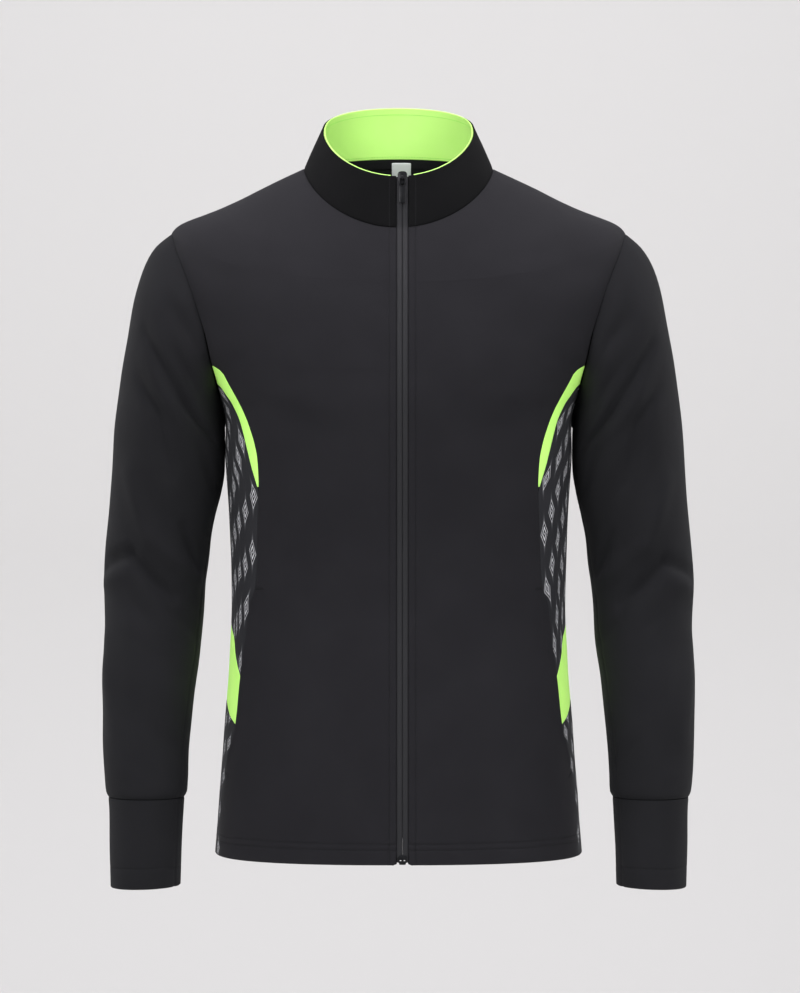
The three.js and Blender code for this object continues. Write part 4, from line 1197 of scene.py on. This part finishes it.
def declare_strip(piece, grid, node):
    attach(piece, JACKET)
    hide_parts(node)
    wide, long = (round(float(lengths(grid, axis).max()) * MM, 4) for axis in (1, 0))


def settle(piece, slot, node=None, body=JACKET):
    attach(piece, body)
    if node:
        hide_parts(node)


# ---------------------------------------------------------------- repeated small shapes
def lines_mesh(name, lines):
    """Lines of points as loose edges, each point with the way out of the cloth."""
    points, edges, outs = [], [], []
    start = 0
    for line, out in lines:
        points.append(line)
        outs.append(out)
        index = start + np.arange(len(line))
        edges.append(np.stack([index[:-1], index[1:]], -1))
        start += len(line)
    mesh = bpy.data.meshes.new(name)
    mesh.from_pydata((np.concatenate(points) * MM).tolist(), np.concatenate(edges).tolist(), [])
    attribute = mesh.attributes.new("out", "FLOAT_VECTOR", "POINT")
    attribute.data.foreach_set("vector", np.concatenate(outs).ravel())
    return mesh


def repeat_tree():
    """Geometry nodes that set copies of a shape along lines, a pitch apart, each turned to
    its line and to the way out of the cloth."""
    tree = bpy.data.node_groups.new("repeat_along_lines", "GeometryNodeTree")
    face = tree.interface
    face.new_socket("Geometry", in_out="INPUT", socket_type="NodeSocketGeometry")
    face.new_socket("Pitch", in_out="INPUT", socket_type="NodeSocketFloat")
    face.new_socket("Shape", in_out="INPUT", socket_type="NodeSocketObject")
    face.new_socket("Material", in_out="INPUT", socket_type="NodeSocketMaterial")
    face.new_socket("Geometry", in_out="OUTPUT", socket_type="NodeSocketGeometry")

    def node(kind, **settings):
        made = tree.nodes.new(kind)
        for key, value in settings.items():
            setattr(made, key, value)
        return made

    def join(a, b):
        tree.links.new(a, b)
    start, end = node("NodeGroupInput"), node("NodeGroupOutput")
    curve, points = node("GeometryNodeMeshToCurve"), node("GeometryNodeCurveToPoints",
                                                          mode="LENGTH")
    join(start.outputs["Geometry"], curve.inputs["Mesh"])
    join(curve.outputs["Curve"], points.inputs["Curve"])
    join(start.outputs["Pitch"], points.inputs["Length"])
    out = node("GeometryNodeInputNamedAttribute", data_type="FLOAT_VECTOR")
    out.inputs["Name"].default_value = "out"
    along = node("FunctionNodeAlignRotationToVector", axis="X")
    upward = node("FunctionNodeAlignRotationToVector", axis="Z", pivot_axis="X")
    join(points.outputs["Tangent"], along.inputs["Vector"])
    join(along.outputs["Rotation"], upward.inputs["Rotation"])
    join(out.outputs["Attribute"], upward.inputs["Vector"])
    shape = node("GeometryNodeObjectInfo")
    join(start.outputs["Shape"], shape.inputs["Object"])
    copies = node("GeometryNodeInstanceOnPoints")
    join(points.outputs["Points"], copies.inputs["Points"])
    join(shape.outputs["Geometry"], copies.inputs["Instance"])
    join(upward.outputs["Rotation"], copies.inputs["Rotation"])
    real = node("GeometryNodeRealizeInstances")
    join(copies.outputs["Instances"], real.inputs["Geometry"])
    dress = node("GeometryNodeSetMaterial")
    join(real.outputs["Geometry"], dress.inputs["Geometry"])
    join(start.outputs["Material"], dress.inputs["Material"])
    join(dress.outputs["Geometry"], end.inputs["Geometry"])
    return tree


REPEAT = repeat_tree()
SOCKETS = {item.name: item.identifier for item in REPEAT.interface.items_tree
           if item.in_out == "INPUT"}


def repeat(name, lines, pitch, shape, material, slot):
    """Copies of a shape along lines, as one mesh on the jacket."""
    holder = put_in_scene(name + "_lines", lines_mesh(name + "_lines", lines))
    modifier = holder.modifiers.new("repeat", "NODES")
    modifier.node_group = REPEAT
    modifier[SOCKETS["Pitch"]] = pitch * MM
    modifier[SOCKETS["Shape"]] = shape
    modifier[SOCKETS["Material"]] = material
    graph = bpy.context.evaluated_depsgraph_get()
    mesh = bpy.data.meshes.new_from_object(holder.evaluated_get(graph), depsgraph=graph)
    bpy.data.objects.remove(holder)
    mesh.name = name
    mesh.shade_smooth()
    if not mesh.materials:
        mesh.materials.append(material)
    piece = put_in_scene(name, mesh)
    settle(piece, slot)
    return piece


def loose_shape(name, points, faces):
    """A shape to repeat, left out of the scene so that it never shows by itself."""
    mesh = bpy.data.meshes.new(name)
    mesh.from_pydata((np.asarray(points) * MM).tolist(), [], faces)
    return bpy.data.objects.new(name, mesh)


def tube_faces(rings, sides, start=0):
    """Faces between rings of points, as many as given, each with the same sides."""
    faces = []
    for i in range(rings - 1):
        for j in range(sides):
            a, b = start + i * sides + j, start + i * sides + (j + 1) % sides
            faces.append((a, b, b + sides, a + sides))
    return faces


def stitch_shape():
    """One stitch: thread that dips into the cloth at both ends."""
    along = np.array([-1.0, -0.82, -0.4, 0.4, 0.82, 1.0]) * 1.12
    up = np.array([-0.30, -0.10, 0.06, 0.06, -0.10, -0.30])
    thick = np.array([0.10, 0.17, 0.21, 0.21, 0.17, 0.10])
    turn = np.arange(6) * math.pi / 3
    points = [(x, r * 1.25 * math.cos(a), z + r * math.sin(a))
              for x, z, r in zip(along, up, thick) for a in turn]
    faces = tube_faces(6, 6) + [(5, 4, 3, 2, 1, 0), (30, 31, 32, 33, 34, 35)]
    return loose_shape("stitch", points, faces)


def coil_shape():
    """One turn of the coil: a flat loop of thread across the tape's back."""
    around = np.arange(12) * math.pi / 6
    centre = np.stack([0.28 * np.sin(around), 1.75 * np.cos(around), 0.62 * np.sin(around)], -1)
    radial = unit(centre * (1, 1, 1.6))
    side_way = np.array([1.0, 0, 0])
    points = [c + 0.3 * (math.cos(a) * r + math.sin(a) * side_way)
              for c, r in zip(centre, radial) for a in np.arange(4) * math.pi / 2]
    faces = [(i * 4 + j, i * 4 + (j + 1) % 4, ((i + 1) % 12) * 4 + (j + 1) % 4,
              ((i + 1) % 12) * 4 + j) for i in range(12) for j in range(4)]
    return loose_shape("coil_turn", points, faces)


STITCH_PITCH = 2.75
STITCH = stitch_shape()


def on_body(turn, h, side, above=0.0):
    """A line on the body's face as it is folded, with the way out of the cloth."""
    point, normal = BODY_FACE.point(turn, h), BODY_FACE.normal(turn, h)
    rise = body_rise(point * (side, 1, 1)) + above
    flip = np.array([side, 1, 1])
    return (point + normal * rise[:, None]) * flip, normal * flip


STITCH_SINK = -STITCH_DIP + 0.12


def zip_stitches():
    for side in (-1, 1):
        h = np.concatenate([rise_by(HEM_H + 1, SHOULDER_H, 4), rise_by(SHOULDER_H, NECK_H - 2, 6)])
        turn = turn_at(BODY_FACE, h, lambda z: ZIP_STITCH + side * ZIP_X)
        yield on_body(turn, h, side, STITCH_SINK)
        levels = np.linspace(0.03, 0.97, 14)
        place, normal = front_point(ZIP_X + side * ZIP_STITCH, COLLAR_FACE, levels, STITCH_SINK)
        yield place, normal


def hem_stitches():
    for up in (HEM_STITCH, HEM_DEPTH):
        for side in (-1, 1):
            start = turn_at(BODY_FACE, np.array([HEM_H + up]), lambda z: FOLD_X + side * ZIP_X)[0]
            turn = np.linspace(start + 0.01, math.pi, 220)
            yield on_body(turn, np.full(220, HEM_H + up), side, STITCH_SINK)


def seam_stitches():
    """The rows beside the neck seam and the pocket mouths."""
    for side in (-1, 1):
        start = turn_at(BODY_FACE, np.array([NECK_H - 2.0]), lambda z: FOLD_X + side * ZIP_X)[0]
        turn = np.linspace(start + 0.02, math.pi, 120)
        yield on_body(turn, np.full(120, NECK_H - 2.4), side, -0.15)
        h = np.linspace(MOUTH_LOW, MOUTH_HIGH, 48)
        edge = seam_turn(FRONT_SEAM, h)
        turn = edge - POCKET_STITCH / (BODY.at("half", h) * 0.85)
        yield on_body(turn, h, side, STITCH_SINK + 0.1)


def bar_tacks():
    """Short dense rows across each end of a pocket mouth."""
    for side in (-1, 1):
        for h, tilt in ((MOUTH_HIGH + 2, 0.0), (MOUTH_LOW - 2, 4.0)):
            edge = seam_turn(FRONT_SEAM, np.array([h]))[0]
            reach = np.linspace(0.8, 9.5, 12)
            for row in (-0.6, 0.0, 0.6):
                level = h + row - tilt * reach / 9.5
                yield on_body(edge - reach / (BODY.at("half", h) * 0.85), level, side, 0.15)


def cuff_stitches():
    depth = np.full(120, CUFF_LONG - CUFF_STITCH)
    angle = np.linspace(0, 2 * math.pi, 120)
    for side in (-1, 1):
        point, normal = CUFF_FACE.point(angle, depth), CUFF_FACE.normal(angle, depth)
        soft = 0.35 * ripple(point[..., 2], point[..., 0] + point[..., 1], 31 + side, 60)
        rise = (soft + STITCH_SINK)[:, None]
        flip = np.array([side, 1, 1])
        yield (point + normal * rise) * flip, normal * flip


def lining_stitches():
    """The row below the collar's rim and the one along the neck seam, seen from inside."""
    inside = -WALL - 0.3 - LINING_WALL - 0.05
    for level in (1 - LINING_STITCH / COLLAR_TALL, 0.075):
        for side in (-1, 1):
            key = np.full(70, level)
            turn = np.linspace(0.25, math.pi, 70)
            flip = np.array([side, 1, 1])
            point, normal = COLLAR_FACE.point(turn, key), COLLAR_FACE.normal(turn, key)
            yield (point + normal * inside) * flip, -normal * flip


def zip_coils():
    for side in (-1, 1):
        runs = up_the_front(3.4, -684, 0.97)
        line, normal = on_the_front(np.array([ZIP_X + side * 2.3]), np.array([-2.15]), runs)
        yield line[:, 0], normal[:, 0]


# ---------------------------------------------------------------- slider, pull tab and box
SLIDER_LEVEL = 0.95
TAB_AXIS_UP, TAB_AXIS_OUT = -1.1, 2.85
SEAT, SEAT_NORMAL = (v[0] for v in front_point(np.array([ZIP_X]), COLLAR_FACE, SLIDER_LEVEL, 0.0))
TILT = math.atan2(-SEAT_NORMAL[2], -SEAT_NORMAL[1])


def lay_on_chain(points):
    """From X across, Y into the body and Z along the chain to the middle of the collar."""
    x, y, z = np.asarray(points, float).T
    c, s = math.cos(TILT), math.sin(TILT)
    return np.stack([x + ZIP_X, y * c - z * s + SEAT[1], y * s + z * c + SEAT[2]], -1)


def mirrored(half):
    """A closed outline from its right half, a list of (x, z) from the top to the foot."""
    half = np.array(half, float)
    return np.concatenate([half, (half * (-1, 1))[::-1]])


def rounded_outline(points, cuts=3):
    """Cuts an outline's corners until it is smooth."""
    for _ in range(cuts):
        after = np.roll(points, -1, 0)
        points = np.stack([0.75 * points + 0.25 * after, 0.25 * points + 0.75 * after], 1)
        points = points.reshape(-1, 2)
    return points


def inset_outline(points, by):
    along = unit(np.roll(points, -1, 0) - np.roll(points, 1, 0))
    inward = np.stack([-along[:, 1], along[:, 0]], -1)
    area = np.sum(points[:, 0] * np.roll(points[:, 1], -1) - np.roll(points[:, 0], -1) * points[:, 1])
    return points + inward * by * np.sign(area)


def plate(outline, low, high, bevel):
    """A plate over an outline in X and Z, from one height out of the chain to another."""
    rings = [(low, bevel), (low + bevel * 0.3, bevel * 0.3), (low + bevel, 0),
             (high - bevel, 0), (high - bevel * 0.3, bevel * 0.3), (high, bevel)]
    count = len(outline)
    points = [(x, -out, z) for out, by in rings for x, z in inset_outline(outline, by)]
    faces = tube_faces(len(rings), count)
    caps = [tuple(range(count)), tuple((len(rings) - 1) * count + k for k in range(count))]
    return np.array(points), faces + caps


def bar(path, wide, deep, bevel=0.28):
    """A bar with eased edges along a path in Z and out, wide across the chain."""
    path = np.array(path, float)
    along = unit(np.gradient(path, axis=0))
    square = np.stack([-along[:, 1], along[:, 0]], -1)
    x, d = wide / 2, deep / 2
    section = [(x - bevel, -d), (x, bevel - d), (x, d - bevel), (x - bevel, d), (bevel - x, d),
               (-x, d - bevel), (-x, bevel - d), (bevel - x, -d)]
    points = [(sx, -(p[1] + n[1] * sd), p[0] + n[0] * sd)
              for p, n in zip(path, square) for sx, sd in section]
    last = (len(path) - 1) * 8
    return np.array(points), tube_faces(len(path), 8) + [
        tuple(range(8)), tuple(last + k for k in range(8))]


def smooth_path(points, cuts=2):
    points = np.array(points, float)
    for _ in range(cuts):
        a, b = points[:-1], points[1:]
        inner = np.stack([0.75 * a + 0.25 * b, 0.25 * a + 0.75 * b], 1).reshape(-1, 2)
        points = np.concatenate([points[:1], inner[1:-1], points[-1:]])
    return points


def together(*solids):
    points, faces, start = [], [], 0
    for some, its_faces in solids:
        points.append(some)
        faces += [tuple(k + start for k in face) for face in its_faces]
        start += len(some)
    return np.concatenate(points), faces


def hard_piece(name, solids, place, material, slot, node=None, body=JACKET):
    points, faces = together(*solids)
    mesh = bpy.data.meshes.new(name)
    mesh.from_pydata((place(points) * MM).tolist(), [], faces)
    face_outward(mesh)
    mesh.set_sharp_from_angle(angle=math.radians(40))
    piece = put_in_scene(name, mesh)
    mesh.materials.append(material)
    settle(piece, slot, node, body)
    return piece


SLIDER_HALF = [(0, 6.5), (1.9, 6.4), (3.7, 5.6), (4.7, 4.1), (4.65, 1.2), (4.1, -1.6), (3.7, -4.4),
               (3.2, -6.1), (1.6, -6.5), (0, -6.5)]


def zip_slider():
    outline = rounded_outline(mirrored(SLIDER_HALF)[1:-1], 2)
    body = plate(outline, 0.0, 1.8, 0.5)
    crown = plate(rounded_outline(outline * (0.66, 0.62) + (0, 0.7), 1), 1.7, 1.98, 0.12)
    ribs = [bar(smooth_path([(5.4, 2.0), (3.9, 2.25), (2.2, 2.1)]), 0.9, 0.7, 0.2)]
    bail = bar(smooth_path([(0.95, 1.3), (0.95, 3.2), (0.75, 4.25), (-0.1, 4.55), (-1.7, 4.55),
                            (-2.5, 4.2), (-2.65, 3.2), (-2.65, 1.3)]), 2.4, 1.05)
    hard_piece("zip_slider_metal", [body, crown, bail, *ribs], lay_on_chain, GUNMETAL,
               "zip_metal", "zip_slider")


TAB_LONG, TAB_THICK, TAB_EYE = 25.5, 1.2, 9.0


def frame_plate(outline, hole, low, high, bevel):
    """A plate with a hole through it. Both outlines have the same number of points."""
    count = len(outline)
    steps = [(low, bevel), (low + bevel, 0), (high - bevel, 0), (high, bevel)]
    points = [(x, -out, z) for out, by in steps for x, z in inset_outline(outline, by)]
    points += [(x, -out, z) for out, by in reversed(steps) for x, z in inset_outline(hole, -by)]
    faces = tube_faces(8, count)
    last = 7 * count
    faces += [(last + j, last + (j + 1) % count, (j + 1) % count, j) for j in range(count)]
    return np.array(points), faces


def pull_tab():
    def place(points):
        return lay_on_chain(points + (0, -TAB_AXIS_OUT, TAB_AXIS_UP))
    half = TAB_THICK / 2
    # The eye is a loop of its own, and the grip below it a plain plate.
    eye = rounded_outline(mirrored([(2.2, 0.6), (2.95, 0.1), (3.05, -TAB_EYE + 0.4),
                                    (2.2, -TAB_EYE - 0.2)]), 2)
    slot = rounded_outline(mirrored([(1.5, -0.6), (1.72, -0.9), (1.72, -TAB_EYE + 2.2),
                                     (1.2, -TAB_EYE + 1.6)]), 2)
    loop = frame_plate(eye, slot, -half, half, 0.25)
    grip = plate(rounded_outline(mirrored([(2.6, -TAB_EYE + 0.6), (3.5, -TAB_EYE - 0.6),
                                           (3.45, -15), (3.1, 1.2 - TAB_LONG),
                                           (2.2, -TAB_LONG)]), 2), -half, half, 0.3)
    hard_piece("pull_tab_metal", [loop, grip], place, GUNMETAL, "zip_metal", "pull_tab", TAB_BODY)


BOX_TOP, BOX_FOOT = 9.4, 2.4
BOX_HALF = [(2.2, BOX_TOP), (4.6, BOX_TOP - 0.6), (5.8, BOX_TOP - 2.6), (5.8, BOX_FOOT + 0.5),
            (5.2, BOX_FOOT), (3.4, BOX_FOOT - 0.3), (3.2, 0.4), (2.6, 0.1)]


def zip_box():
    seat, _ = front_point(np.array([ZIP_X]), BODY_FACE, HEM_H + 5.0, 0.0)

    def place(points):
        return points + (ZIP_X, seat[0, 1], HEM_H)
    block = plate(rounded_outline(mirrored(BOX_HALF), 2), -2.6, 0.5, 0.4)
    post = plate(rounded_outline(mirrored([(0.5, 8.6), (1.6, 7.9), (1.6, 4.8), (0.5, 4.1)]), 2),
                 0.3, 0.95, 0.25)
    hard_piece("zip_box_metal", [block, post], place, GUNMETAL, "zip_metal", "zip_box")
    # Two small plates of bright metal give the box its two glints: painted highlights.
    glint_plates = [plate(rounded_outline(mirrored([(0.4, 0.45), (0.95, 0.3), (0.95, -0.3), (0.4, -0.45)])
                                  + (dx, 4.4), 2), 0.4, 0.85, 0.2) for dx in (-1.8, 1.8)]
    hard_piece("zip_box_pins", glint_plates, place, BRIGHT_METAL, "zip_metal")


# ---------------------------------------------------------------- the whole jacket
for side, word in ((1, "left"), (-1, "right")):
    front(side, word)
    side_upper(side, word)
    hip_inset(side, word)
    side_lower(side, word)
    underarm_inset(side, word)
    sleeve(side, word)
    cuff(side, word)
    zip_tape(side, word)
back()
collar()
collar_lining()
neck_band()
neck_label()
zip_slider()
pull_tab()
zip_box()
repeat("zip_coil_turns", zip_coils(), 1.3, coil_shape(), COIL, "zip_coil")
black_lines = [*zip_stitches(), *hem_stitches(), *seam_stitches(), *cuff_stitches()]
repeat("black_stitches", black_lines, STITCH_PITCH, STITCH, BLACK_THREAD, "black_knit")
repeat("bar_tacks", bar_tacks(), 0.9, STITCH, BLACK_THREAD, "black_knit")
repeat("neon_stitches", lining_stitches(), STITCH_PITCH, STITCH, NEON_THREAD, "neon_knit")


# ---------------------------------------------------------------- stage and light
def stage_material():
    """Pale, and clear to a camera that looks from behind the wall."""
    m = Nodes("pale_backdrop")
    material = m.finish((0.615, 0.605, 0.59, 1), 0.9, Specular_IOR_Level=0.1)
    behind = m.math("MULTIPLY", m.make("ShaderNodeNewGeometry").outputs["Backfacing"],
                    m.make("ShaderNodeLightPath").outputs["Is Camera Ray"])
    clear, either = m.make("ShaderNodeBsdfTransparent"), m.make("ShaderNodeMixShader")
    out = next(n for n in material.node_tree.nodes if n.type == "OUTPUT_MATERIAL")
    links = material.node_tree.links
    links.new(behind, either.inputs[0])
    links.new(m.shader.outputs[0], either.inputs[1])
    links.new(clear.outputs[0], either.inputs[2])
    links.new(either.outputs[0], out.inputs["Surface"])
    return material


def backdrop():
    """A pale floor that curves up into a wall behind the jacket."""
    radius, half_wide, near, far, high = 1.0, 9.0, -7.0, 3.2, 7.0
    turn = np.linspace(0, math.pi / 2, 24)
    path = [(near, 0.0)] + [(far - radius + radius * math.sin(a), radius - radius * math.cos(a))
                            for a in turn] + [(far, high)]
    points = [(x, y, FLOOR_Z + z) for y, z in path for x in (-half_wide, half_wide)]
    faces = [(2 * i, 2 * i + 1, 2 * i + 3, 2 * i + 2) for i in range(len(path) - 1)]
    mesh = bpy.data.meshes.new("backdrop")
    mesh.from_pydata(points, [], faces)
    mesh.shade_smooth()
    stage = put_in_scene("backdrop", mesh)
    mesh.materials.append(stage_material())


def softbox(name, place, aim, wide, tall, power, color=(1, 1, 1)):
    data = bpy.data.lights.new(name, "AREA")
    data.shape = "RECTANGLE"
    data.size, data.size_y, data.energy, data.color = wide, tall, power, color
    light = put_in_scene(name, data)
    light.location = place
    toward = Vector(aim) - Vector(place)
    light.rotation_euler = toward.to_track_quat("-Z", "Y").to_euler()


def light_the_room():
    world = bpy.data.worlds.new("studio")
    bpy.context.scene.world = world
    world.use_nodes = True
    back = world.node_tree.nodes["Background"]
    back.inputs["Color"].default_value = (0.9, 0.93, 1.0, 1)
    back.inputs["Strength"].default_value = 0.50
    middle = (0, 0, -0.33)
    softbox("top", (0.0, -0.5, 2.4), middle, 2.6, 1.6, 72, (0.98, 0.93, 1.0))
    softbox("key", (-1.9, -2.6, 1.2), middle, 1.6, 1.8, 60)
    softbox("fill", (2.2, -2.4, 0.5), middle, 1.6, 2.0, 40)
    softbox("rim_left", (-2.4, 1.2, 0.6), middle, 0.8, 2.2, 18)
    softbox("rim_right", (2.4, 1.2, 0.6), middle, 0.8, 2.2, 18)
    softbox("wall", (0, 0.9, 2.2), (0, 3.2, 0.0), 7.5, 0.8, 42)


backdrop()
light_the_room()

scene_view = bpy.context.scene.view_settings
scene_view.view_transform = "Standard"


bpy.context.view_layer.update()
